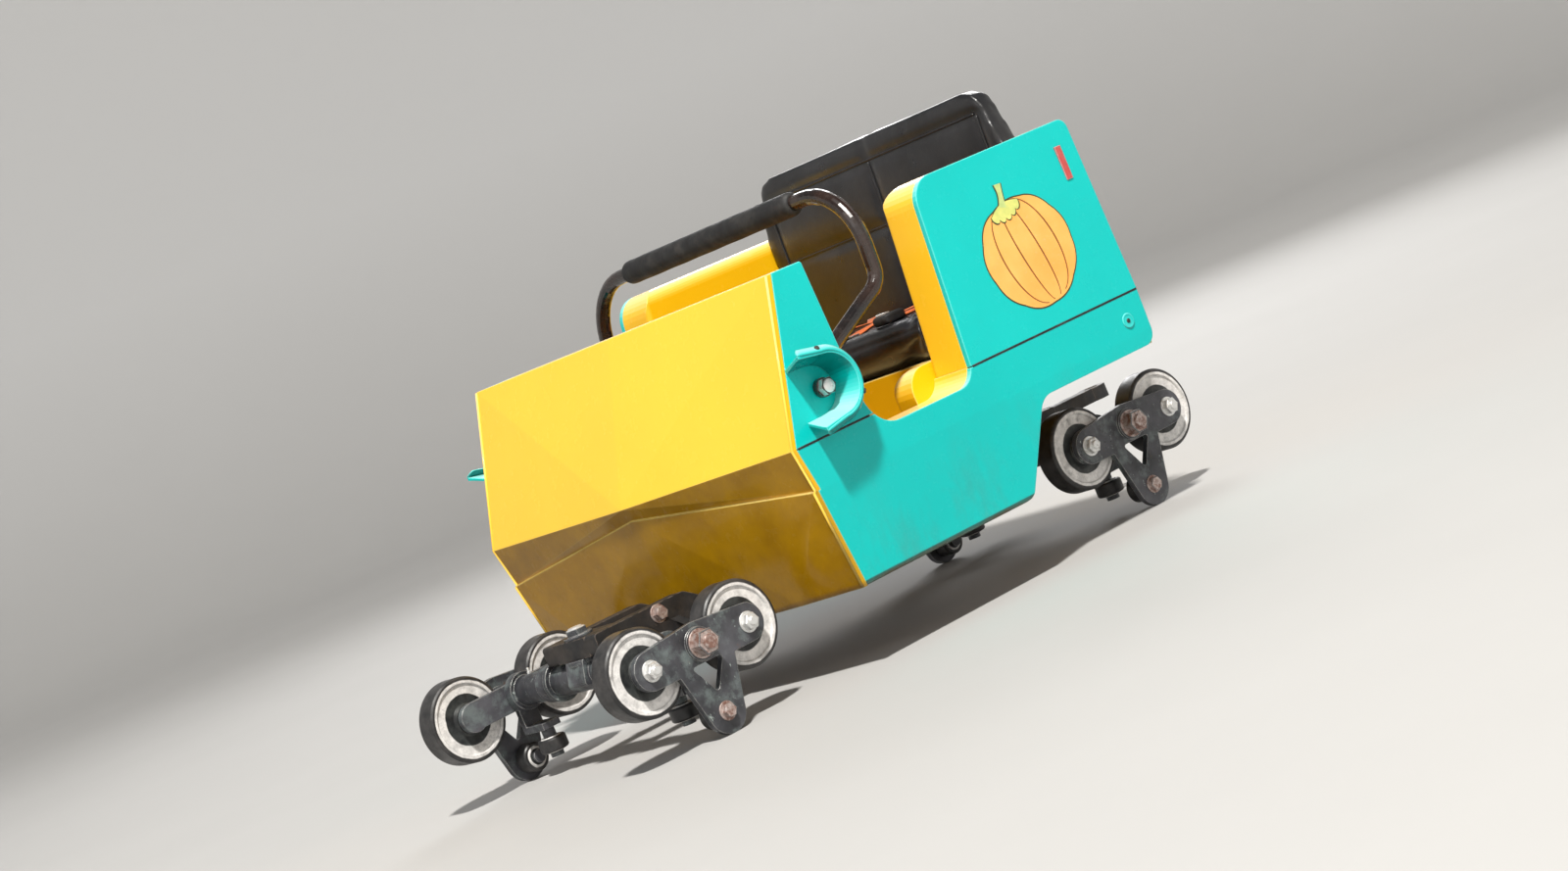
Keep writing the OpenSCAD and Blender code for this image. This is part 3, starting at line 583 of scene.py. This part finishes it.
def blow_up(ob, near):
    """Swells the pad as cloth that is held at its seams."""
    sewn = ob.vertex_groups.new(name="sewn")
    for i, dist in enumerate(near):
        if dist < VOXEL * 0.75:
            sewn.add([i], 1.0, "REPLACE")
    cloth = ob.modifiers.new("cloth", "CLOTH")
    st = cloth.settings
    st.quality, st.mass = 4, 0.35
    st.tension_stiffness = st.compression_stiffness = 22
    st.bending_stiffness = 2.5
    st.use_pressure, st.uniform_pressure_force = True, PRESSURE
    st.vertex_group_mass = "sewn"
    st.effector_weights.gravity = 0
    cloth.collision_settings.use_collision = False
    cloth.point_cache.frame_start, cloth.point_cache.frame_end = 1, CLOTH_FRAMES
    for f in range(1, CLOTH_FRAMES + 1):
        bpy.context.scene.frame_set(f)
    as_mesh(ob)
    ob.vertex_groups.clear()
    bpy.context.scene.frame_set(1)


def pad(name, node, seam, cap, inward, top_room):
    """A pad with sunken seams. seam: distance to the nearest seam, cap: most that it swells,
    inward: how deep a seam is drawn in, top_room: how far it may rise past its solid's box."""
    src = frame["nodes"][node]
    me = src.data.copy()
    ob = link(name, me)
    ob.matrix_world = src.matrix_world.copy()
    lo, hi = box(node)
    mid = (lo + hi) / 2
    for v in me.vertices:
        c = v.co
        for i in range(3):
            half = (hi[i] - lo[i]) / 2
            c[i] = mid[i] + (c[i] - mid[i]) * (half - SHRINK) / half
    rm = ob.modifiers.new("remesh", "REMESH")
    rm.mode, rm.voxel_size, rm.use_smooth_shade = "VOXEL", VOXEL, True
    sm = ob.modifiers.new("soften", "SMOOTH")
    sm.factor, sm.iterations = 0.5, 3
    bpy.context.view_layer.update()
    as_mesh(ob)
    rest = [v.co.copy() for v in ob.data.vertices]
    near = [seam(c) for c in rest]
    blow_up(ob, near)
    for i, v in enumerate(ob.data.vertices):
        move = v.co - rest[i]
        if move.length > cap:
            move *= cap / move.length
        v.co = rest[i] + move
    ob.data.update()
    for i, v in enumerate(ob.data.vertices):
        pull = inward * math.exp(-(near[i] / (VOXEL * 0.9)) ** 2)
        if pull > 1e-5:
            v.co -= v.normal * pull
    room = (FRONT_ROOM, -INSIDE, top_room)
    for v in ob.data.vertices:
        for i in range(3):
            v.co[i] = min(max(v.co[i], lo[i] + INSIDE), hi[i] + room[i])
    ob.data.materials.clear()
    ob.data.materials.append(M["vinyl_black"])
    for p in ob.data.polygons:
        p.use_smooth = True
        p.material_index = 0
    sub = ob.modifiers.new("smooth", "SUBSURF")
    sub.levels = sub.render_levels = 1
    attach(ob, BODY)
    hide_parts(node)
    return ob


SEAT_LO, SEAT_HI = box("seat_cushion")
BACK_LO, BACK_HI = box("seat_back")
SEAT_PANEL_Y = SEAT_HI.y - 0.040    # side seam of the bench's panels
BACK_PANEL_Y = BACK_HI.y - 0.052    # side seam of the back's panels
ROLL_X = -0.150                     # cross seam behind the bench's front roll
RIM_SEAM_Z = 0.552                  # seam round the bench's rim
BACK_SEAMS_Z = (0.76, 0.905)        # the back's two cross seams


def cushion_seam(c):
    """Distance to the bench cushion's seams: the middle, the front roll, the panels' sides and the rim."""
    ds = [abs(c.y)] if c.z > 0.50 else [9]
    if c.z > 0.545:
        ds.append(abs(c.x - ROLL_X))
        ds.append(abs(abs(c.y) - SEAT_PANEL_Y))
    if c.z < 0.57 and (abs(c.y) > SEAT_HI.y - 0.018 or c.x > -0.11):
        ds.append(abs(c.z - RIM_SEAM_Z))
    return min(ds)


def back_seam(c):
    """Distance to the seat back's seams: the middle, two cross seams, the panels' sides, the edge behind."""
    face = BACK_LO.x + 0.046
    ds = [abs(c.y)]
    if c.x > face:
        ds += [abs(c.z - z) for z in BACK_SEAMS_Z]
        if c.z < 0.90:
            ds.append(abs(abs(c.y) - BACK_PANEL_Y))
    if c.z > 0.60:
        ds.append(abs(c.x - face + 0.004))
    return min(ds)


cushion = pad("bench_cushion", "seat_cushion", cushion_seam, 0.012, 0.006, 0.008)
back_pad = pad("bench_back", "seat_back", back_seam, 0.010, 0.005, -INSIDE)

# Welts: thin piping sewn into the pads' seams
DOWN, BACKWARD = (0, 0, -1), (-1, 0, 0)
ABOVE_SEAT = 0.75           # height from which rays go down to the bench
WELT_R = 0.0024
seat_top, back_face = skin_of(cushion, DOWN), skin_of(back_pad, BACKWARD)


def welt(bld, hit, way, start, end, count):
    """Piping over the straight line between two points, laid on the pad's surface."""
    a, b = Vector(start), Vector(end)
    pts = [p for p in [hit(a.lerp(b, i / count)) for i in range(count + 1)] if p]
    bld.tube([p - Vector(way) * 0.0008 for p in smoothed(pts, 1, Vector())], WELT_R, 8)


welts = Build()
for y in (-SEAT_PANEL_Y, 0.0, SEAT_PANEL_Y):
    welt(welts, seat_top, DOWN, (SEAT_LO.x + 0.03, y, ABOVE_SEAT), (ROLL_X, y, ABOVE_SEAT), 30)
welt(welts, seat_top, DOWN, (ROLL_X, -SEAT_PANEL_Y, ABOVE_SEAT), (ROLL_X, SEAT_PANEL_Y, ABOVE_SEAT), 60)
for y in (-BACK_PANEL_Y, 0.0, BACK_PANEL_Y):
    welt(welts, back_face, BACKWARD, (0, y, 0.63), (0, y, BACK_SEAMS_Z[1]), 30)
for z in BACK_SEAMS_Z:
    welt(welts, back_face, BACKWARD, (0, -BACK_PANEL_Y, z), (0, BACK_PANEL_Y, z), 60)
welts.done("pad_piping", M["vinyl_black"], BODY, "vinyl_black")

# Lap bar foam: a sleeve round the bar with rounded ends and faint waists
FOAM_BORE, FOAM_END = 0.0163, 0.02      # its bore's radius, and the length of its rounded ends
FOAM_ROWS = 60


def foam_sleeve():
    """The sleeve's middle and its rows of (distance along the bar, radius)."""
    lo, hi = box("lap_bar_pad")
    half, rad = (hi.y - lo.y) / 2, (hi.z - lo.z) / 2
    rows = []
    for i in range(FOAM_ROWS + 1):
        t = -half + 2 * half * i / FOAM_ROWS
        e = min(half - abs(t), FOAM_END) / FOAM_END
        end = 0.80 + 0.20 * math.sqrt(max(0, 1 - (1 - e) ** 2))
        rows.append((t, (rad - 0.001) * end * (1 - 0.02 * math.sin(t * 31) ** 2)))
    return (lo + hi) / 2, [(-half, FOAM_BORE)] + rows + [(half, FOAM_BORE)]


bld = Build()
mid, rows = foam_sleeve()
bld.turned(mid, (0, 1, 0), rows, 40)
foam_pad = bld.done("lap_bar_foam", M["foam_black"], "lap_bar", "foam_black")
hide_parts("lap_bar_pad")

# Belts: webbing that comes up behind the cushion and lies on it, with a buckle or a tongue on its end
SEAT_MID, BELT_GAP, BELT_W, BELT_T = 0.212, 0.130, 0.049, 0.0028
BELT_STEPS = 36
STITCHES = (0.90, 0.935)    # places of the two rows of stitching, as shares of the belt's length
STITCH_R = 0.0007
BELT_SECTION = ((-1, -0.5), (-0.96, -1), (0.96, -1), (1, -0.5), (1, 0.5), (0.96, 1), (-0.96, 1), (-1, 0.5))
belt_back, belt_front = box("seat_belts")[0].x + 0.002, box("seat_belts")[1].x
# A buckle's housing: distance along it, half width, half height
BUCKLE = [(-0.004, 0.014, 0.004), (0.002, 0.020, 0.0085), (0.012, 0.0235, 0.0105), (0.040, 0.0245, 0.0110),
          (0.052, 0.0235, 0.0100), (0.058, 0.0200, 0.0070)]
# A tongue's bars: two sides of each, then its two ends
TONGUE = ((-0.027, 0.027, -0.004, 0.002), (-0.027, 0.027, 0.008, 0.020), (-0.027, -0.022, 0.0, 0.010),
          (0.022, 0.027, 0.0, 0.010), (-0.011, -0.005, 0.019, 0.046), (0.005, 0.011, 0.019, 0.046),
          (-0.011, 0.011, 0.019, 0.028), (-0.011, 0.011, 0.040, 0.048))
TONGUE_SECTION = ((0, -0.0011), (1, -0.0011), (1, 0.0011), (0, 0.0011))
BUTTON_SECTION = ((-1, 0), (1, 0), (1, 0.0030), (-1, 0.0030))


def belt_line(seat, side):
    """The middle line of a belt's webbing over the cushion."""
    y0 = seat * SEAT_MID + side * BELT_GAP / 2
    length = belt_front - 0.02 * (1 + side) - belt_back
    steps = range(BELT_STEPS + 1)
    xs = [belt_back + length * i / BELT_STEPS for i in steps]
    ys = [y0 - 0.004 * side * math.sin(2.6 * i / BELT_STEPS) for i in steps]
    raw = [max((seat_top((x, y + q, ABOVE_SEAT)) or SEAT_HI).z for q in (-0.018, 0, 0.018))
           for x, y in zip(xs, ys)]
    zs = [max(z, r) + 0.0012 + BELT_T / 2 for z, r in zip(smoothed(raw, 3, 0.0), raw)]
    return list(zip(xs, ys, zs))


def squared(v):
    """Flattens a circle's sides, for a rounded housing."""
    return max(-1, min(1, 1.25 * v))


def add_buckle(end, housing, button):
    """A rounded housing with a press button on top."""
    housing.loft([[end + Vector((x, w * squared(math.cos(t)), 0.006 + h * squared(math.sin(t))))
                   for t in round_turns(28)] for x, w, h in BUCKLE])
    button.loft([[end + Vector((0.036 + 0.014 * q, w * 0.015, 0.0160 + h + 0.0012 * math.sin(math.pi * q)))
                  for w, h in BUTTON_SECTION] for q in (0, 0.25, 0.5, 0.75, 1)])


def add_tongue(end, bld):
    """A plate with a slot for the webbing and a narrow blade with a catch hole."""
    for w0, w1, x0, x1 in TONGUE:
        bld.loft([[end + Vector((x, (w0, w1)[w], 0.002 + h)) for w, h in TONGUE_SECTION]
                  for x in (x0, (x0 + x1) / 2, x1)])


bld, buckles, tongues = Build(), Build(), Build()
for seat in (1, -1):
    for side in (1, -1):
        line = belt_line(seat, side)
        rings = []
        for i, p in enumerate(line):
            twist = 0.0008 * math.sin(i * 0.5 + side)
            rings.append([Vector(p) + Vector((0, w * BELT_W / 2, h * BELT_T / 2 + twist * w))
                          for w, h in BELT_SECTION])
        bld.loft(rings)
        for q in STITCHES:
            x, y, z = line[int(q * BELT_STEPS)]
            row = [(x, y + t * BELT_W * 0.42, z + BELT_T * 0.55) for t in (-1, -0.5, 0, 0.5, 1)]
            bld.tube(row, STITCH_R, 6)
        if side * seat > 0:
            add_buckle(Vector(line[-1]), buckles, tongues)
        else:
            add_tongue(Vector(line[-1]), tongues)
belts = bld.done("belt_webbing", M["belt_orange"], BODY, "belt_orange")
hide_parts("seat_belts")
buckles.done("belt_buckles", M["foam_black"], BODY, "foam_black")
tongues.done("belt_tongues", M["zinc"], BODY, "bar_steel", False)

# Bolts: chamfered hexagon heads over the CAD ones, with washers
KINGPINS = (("front", 0.670), ("rear", -0.570))     # forward place of each bogie's kingpin
PLATE = 0.365               # outer face of the outer carrier plates
WHEEL_X = 0.125             # from the kingpin to a running wheel's axle
HUB_Z, AXLE_Z, UPSTOP_Z = 0.176, 0.181, 0.044
NUT_Z, PIN_Z = 0.2624, 0.2740       # foot of the kingpin's nut, and of the pin's end over it
ARM_BOLTS_X, ARM_BOLTS_Y, ARM_BOLTS_Z = (0.540, -0.440), 0.095, 0.238
PIVOT_X, PIVOT_Z = 0.301, 0.532     # the lap bar's shaft
# Hexagons: width across flats, height, radius of the washer
HUB_HEX, AXLE_HEX = (0.0302, 0.0165, 0.021), (0.0463, 0.0284, 0.029)
UPSTOP_HEX, ARM_HEX, NUT_HEX = (0.0262, 0.0135, 0.019), (0.0262, 0.0165, 0.019), (0.0402, 0.0130, 0)
# Turned ends of bolts and pins: distance along the axis, radius
HUB_END = [(0, 0.0095), (0.004, 0.0095), (0.0055, 0.008)]
AXLE_END = [(0, 0.015), (0.006, 0.015), (0.008, 0.0135)]
PIN_END = [(0, 0.0152), (0.003, 0.0152), (0.0045, 0.013)]
SHAFT_HEAD = [(0, 0.0178), (0.0125, 0.0178), (0.0150, 0.0160)]
SHAFT_END = [(0, 0.0145), (0.0028, 0.0125), (0.0040, 0.0075), (0.0043, 0.002)]


def hex_bolt(bld, at, axis, flats, height, washer):
    """A chamfered hexagon head, on a washer unless that is 0."""
    r = flats / math.sqrt(3)
    if washer:
        bld.turned(at, axis, [(0, washer), (0.0022, washer), (0.0028, washer - 0.0008)], 32)
    base = 0.0026 if washer else 0
    bld.turned(at, axis, [(base, r * 0.995), (height - 0.0022, r * 0.995), (height, r * 0.86)], 6)


for end, king in KINGPINS:
    for s, side in ((1, "left"), (-1, "right")):
        out = (0, s, 0)
        zinc, rust = Build(), Build()
        for dx in (WHEEL_X, -WHEEL_X):
            hex_bolt(zinc, (king + dx, s * PLATE, HUB_Z), out, *HUB_HEX)
            zinc.turned((king + dx, s * (PLATE + 0.016), HUB_Z), out, HUB_END, 24)
        hex_bolt(rust, (king, s * (PLATE + 0.006), AXLE_Z), out, *AXLE_HEX)
        rust.turned((king, s * (PLATE + 0.033), AXLE_Z), out, AXLE_END, 24)
        hex_bolt(rust, (king, s * PLATE, UPSTOP_Z), out, *UPSTOP_HEX)
        zinc.done(f"{end}_hub_bolts_{side}", M["zinc"], end + "_bogie", "bogie_steel", False)
        rust.done(f"{end}_pivot_nuts_{side}", M["rusty"], end + "_bogie", "bogie_steel", False)
    top = Build()
    hex_bolt(top, (king, 0, NUT_Z), (0, 0, 1), *NUT_HEX)
    top.turned((king, 0, PIN_Z), (0, 0, 1), PIN_END, 28)
    top.done(end + "_kingpin_nut", M["zinc"], end + "_bogie", "bogie_steel", False)
arm_bolts = Build()
for x in ARM_BOLTS_X:
    for s in (1, -1):
        hex_bolt(arm_bolts, (x, s * ARM_BOLTS_Y, ARM_BOLTS_Z), (0, s, 0), *ARM_HEX)
arm_bolts.done("frame_arm_bolts", M["rusty"], BODY, "frame_steel", False)
ends = Build()
for s in (1, -1):
    ends.turned((PIVOT_X, s * 0.5515, PIVOT_Z), (0, s, 0), SHAFT_HEAD, 6)
    ends.turned((PIVOT_X, s * 0.5660, PIVOT_Z), (0, s, 0), SHAFT_END, 28)
ends.done("lap_bar_end_bolts", M["zinc"], "lap_bar", "bar_steel", False)

# Guards: a turned-out rim round each U, fixed with two small screws, and the sunken panel screws at the tail
GUARD_X, GUARD_Z = 0.315, 0.533
GUARD_R, GUARD_REACH, GUARD_SPREAD = 0.066, 0.058, 0.010
GUARD_ARM, GUARD_TURN = 12, 36      # steps along each arm of the U, and round its bend
RIM_Y = box("pivot_cover_left")[1].y
# The rim's section: distance out from the U, distance out from its plane
RIM = [(-0.0035, -0.0010), (-0.0015, 0.0012), (0.0030, 0.0004), (0.0090, -0.0062), (0.0125, -0.0125),
       (0.0112, -0.0140), (0.0075, -0.0088), (0.0020, -0.0030), (-0.0030, -0.0034)]
RIM_ENDS = (0.30, 0.72)     # how much of the rim is left at the U's tips and one step in
GUARD_SCREWS = (11, 36)     # steps of the U with a screw
GUARD_SCREW = [(-0.001, 0.0052), (0.0016, 0.0052), (0.0030, 0.0036)]
TAIL_SCREW_X, TAIL_SCREW_Z = -0.517, 0.392
TAIL_CUP = [(-0.001, 0.0165), (0.0008, 0.0162), (0.0020, 0.0148), (0.0016, 0.0128), (0.0007, 0.0100),
            (0.0004, 0.0040)]
TAIL_SCREW = [(0.0, 0.0048), (0.0016, 0.0048), (0.0024, 0.0034)]


def guard_path():
    """The U of a guard's rim, with the way out from it: (x, z, out x, out z)."""
    slope = math.atan2(GUARD_SPREAD, GUARD_REACH)
    left = [1 - i / GUARD_ARM for i in range(GUARD_ARM)]
    arm = [(GUARD_REACH * q, GUARD_R + GUARD_SPREAD * q, -math.sin(slope), math.cos(slope)) for q in left]
    turns = [math.pi * i / GUARD_TURN for i in range(GUARD_TURN + 1)]
    turn = [(-GUARD_R * math.sin(t), GUARD_R * math.cos(t), -math.sin(t), math.cos(t)) for t in turns]
    return arm + turn + [(x, -z, ox, -oz) for x, z, ox, oz in reversed(arm)]


rims, screws, cups, centres = Build(), Build(), Build(), Build()
path = guard_path()
for s in (1, -1):
    rings = []
    for i, (x, z, ox, oz) in enumerate(path):
        e = min(i, len(path) - 1 - i)
        out = RIM_ENDS[e] if e < len(RIM_ENDS) else 1.0
        rings.append([(GUARD_X + x + ox * a * out, s * (RIM_Y + b * out), GUARD_Z + z + oz * a * out)
                      for a, b in RIM])
    rims.loft(rings)
    for i in GUARD_SCREWS:
        x, z, ox, oz = path[i]
        face = Vector((ox * 0.70, s * 0.71, oz * 0.70))
        at = Vector((GUARD_X + x + ox * 0.0075, s * (RIM_Y - 0.0042), GUARD_Z + z + oz * 0.0075))
        screws.turned(at, face, GUARD_SCREW, 20)
    tail = (TAIL_SCREW_X, s * side_low_y(TAIL_SCREW_Z), TAIL_SCREW_Z)
    cups.turned(tail, (0, s, 0), TAIL_CUP, 36)
    centres.turned(tail, (0, s, 0), TAIL_SCREW, 20)
rims.done("guard_rims", M["shell_teal"], BODY, "shell_teal")
screws.done("guard_screws", M["frame_steel"], BODY, "frame_steel", False)
cups.done("tail_screw_cups", M["shell_teal"], BODY, "shell_teal")
centres.done("tail_screws", M["frame_steel"], BODY, "frame_steel", False)

# Round-headed screws on the tail wall, and grease nipples on the bogies' axle beams
WALL_SCREWS = ((0.455, 0.40), (0.455, 0.53), (0.455, 0.66), (0.455, 0.79), (0.15, 0.40), (0.15, 0.79))
WALL_SCREW = [(-0.001, 0.0075), (0.0010, 0.0075), (0.0022, 0.0060), (0.0016, 0.0022)]
NIPPLES_Y = (-0.215, -0.075, 0.075, 0.215)
NIPPLE_FOOT = [(-0.001, 0.0048), (0.0040, 0.0048)]
NIPPLE = [(0.0040, 0.0030), (0.0085, 0.0024), (0.0095, 0.0031), (0.0115, 0.0026), (0.0125, 0.0012)]
tail_wall = Build()
wall_hit = skin_of(frame["nodes"]["rear_bulkhead"], (1, 0, 0))
for s in (1, -1):
    for y, z in WALL_SCREWS:
        at = wall_hit((-1.2, s * y, z))
        if at:
            tail_wall.turned(at, BACKWARD, WALL_SCREW, 24)
tail_wall.done("tail_wall_screws", M["zinc"], BODY, "frame_steel", False)
for end, king in KINGPINS:
    nipples = Build()
    beam_top = skin_of(frame["nodes"][end + "_axle_beam"], DOWN)
    for y in NIPPLES_Y:
        at = beam_top((king, y, 0.6))
        if at:
            nipples.turned(at, (0, 0, 1), NIPPLE_FOOT, 6)
            nipples.turned(at, (0, 0, 1), NIPPLE, 16)
    nipples.done(end + "_grease_nipples", M["zinc"], end + "_bogie", "bogie_steel", False)

# Lip: a rounded bead down the cowl's side edges, and sealant in the long seams of the sides
LIP_R, SEALANT_R = 0.0030, 0.0026
LIP_LINE = ((0.3125, 0.5315, 0.768), (0.4240, 0.5390, 0.446), (0.4055, 0.5350, 0.360),
            (0.4105, 0.5350, 0.356), (0.3755, 0.5170, 0.154))
SEALANT_Y, SEALANT_Z, SEALANT_STEPS = 0.5388, 0.4452, 12
SEALANT_X = ((-0.570, -0.075), (0.217, 0.409))      # under the cheek, and under the post
lips, beads = Build(), Build()
for s in (1, -1):
    lips.tube([(x, s * y, z) for x, y, z in LIP_LINE], LIP_R, 8)
    for x0, x1 in SEALANT_X:
        steps = [x0 + (x1 - x0) * i / SEALANT_STEPS for i in range(SEALANT_STEPS + 1)]
        beads.tube([(x, s * SEALANT_Y, SEALANT_Z) for x in steps], SEALANT_R, 8)
lips.done("cowl_edge_lip", M["shell_yellow"], BODY, "shell_yellow")
beads.done("seam_sealant", M["sealant"], BODY, "foam_black")

# Gourd: a plain printed fruit on each cheek, drawn from a few rules
GOURD_X, GOURD_Z, GOURD_LEAN = -0.338, 0.606, math.radians(-11)
GOURD_W, GOURD_H = 0.121, 0.114     # half width and half height of the fruit
CAP_W, CAP_V = 0.043, GOURD_H - 0.0135      # half width of the calyx, and the height of its tips
RIBS = (-0.66, -0.24, 0.20, 0.62)           # places of the rib lines, from one edge at -1 to the other at 1
INK = 0.0003                # thickness of one layer of the print


def gourd(u, v):
    """A point of the drawing, u across and v up, turned and put in place in X and Z."""
    c, n = math.cos(GOURD_LEAN), math.sin(GOURD_LEAN)
    return GOURD_X + u * c - v * n, GOURD_Z + u * n + v * c


def flat_print(name, shapes, lift, mat):
    """Flat shapes on both cheeks, each from its outline, as thin solids."""
    v, f = [], []
    for s in (1, -1):
        for outline in shapes:
            base, n = len(v), len(outline)
            for k in (lift, lift + INK):
                v += [(x, s * (side_y(z) + k), z) for x, z in outline]
            f += [(base + i, base + (i + 1) % n, base + n + (i + 1) % n, base + n + i) for i in range(n)]
            f += [tuple(base + n + i for i in range(n)), tuple(base + i for i in reversed(range(n)))]
    piece(name, v, f, mat, BODY, False)


def stroke(line, end_w, mid_w):
    """The outline of a drawn line with one width at its ends and another in its middle."""
    n, left, right = len(line), [], []
    for i, (x, z) in enumerate(line):
        a, b = line[max(i - 1, 0)], line[min(i + 1, n - 1)]
        dx, dz = b[0] - a[0], b[1] - a[1]
        q = math.hypot(dx, dz) or 1
        w = (end_w + (mid_w - end_w) * math.sin(math.pi * i / (n - 1))) / 2
        left.append((x - dz / q * w, z + dx / q * w))
        right.append((x + dz / q * w, z - dx / q * w))
    return left + right[::-1]


def rib(k, n=26):
    """A rib line from the crown to the foot; k is -1 at one edge of the fruit and 1 at the other."""
    turns = [math.pi * (0.085 + 0.83 * i / n) for i in range(n + 1)]
    return [gourd(k * GOURD_W * math.sin(t) ** 0.75, GOURD_H * math.cos(t) * (1 - 0.05 * k * k))
            for t in turns]


def fruit_edge(grow=0.0, n=96):
    """The fruit's outline: an oval with shallow lobes and a dip at the crown."""
    pts = []
    for t in round_turns(n):
        r = 1 + 0.022 * abs(math.sin(4.5 * t + 0.4)) - 0.05 * max(0, math.sin(t)) ** 12
        pts.append(gourd((GOURD_W * r + grow) * math.cos(t), (GOURD_H * r + grow) * math.sin(t)))
    return pts


def calyx_edge(grow=0.0):
    """A cap of five rounded lobes over the crown of the fruit."""
    pts = [gourd(-CAP_W - grow, CAP_V)]
    for i in range(41):
        q = i / 40
        lobe = 0.0075 * abs(math.sin(5 * math.pi * q)) ** 0.6
        low = GOURD_H - 0.019 - 0.012 * math.sin(math.pi * q) - lobe - grow
        pts.append(gourd(-CAP_W + 2 * CAP_W * q + grow * (2 * q - 1), low))
    pts.append(gourd(CAP_W + grow, CAP_V))
    for i in range(1, 16):
        q = 1 - i / 16
        pts.append(gourd(-CAP_W + 2 * CAP_W * q, CAP_V + 0.0115 * math.sin(math.pi * q) + grow * 0.6))
    return pts


stem = [gourd(0.002 - 0.0030 * i + 0.00010 * i * i, GOURD_H - 0.010 + 0.0050 * i) for i in range(10)]
dark_ink = printed("print_rim", (0.030, 0.045, 0.012), (0.055, 0.05, 0.012))
fruit_ink = printed("print_orange", (1.0, 0.48, 0.12), (0.96, 0.40, 0.08), 12)
rib_ink = printed("print_ribs", (0.26, 0.085, 0.012), (0.18, 0.07, 0.012))
calyx_ink = printed("print_calyx", (0.74, 0.72, 0.20), (0.55, 0.60, 0.16), 40)
stem_ink = printed("print_stem", (0.66, 0.74, 0.30), (0.46, 0.58, 0.20), 40)
flat_print("gourd_rim", [fruit_edge(0.0030)], 0.0002, dark_ink)
flat_print("gourd_fruit", [fruit_edge()], 0.0005, fruit_ink)
flat_print("gourd_ribs", [stroke(rib(k), 0.0016, 0.0036) for k in RIBS], 0.0008, rib_ink)
flat_print("gourd_crown_rim", [stroke(stem, 0.0250, 0.0180), calyx_edge(0.0024)], 0.0010, dark_ink)
flat_print("gourd_calyx", [calyx_edge()], 0.0013, calyx_ink)
flat_print("gourd_stem", [stroke(stem, 0.0190, 0.0125)], 0.0015, stem_ink)
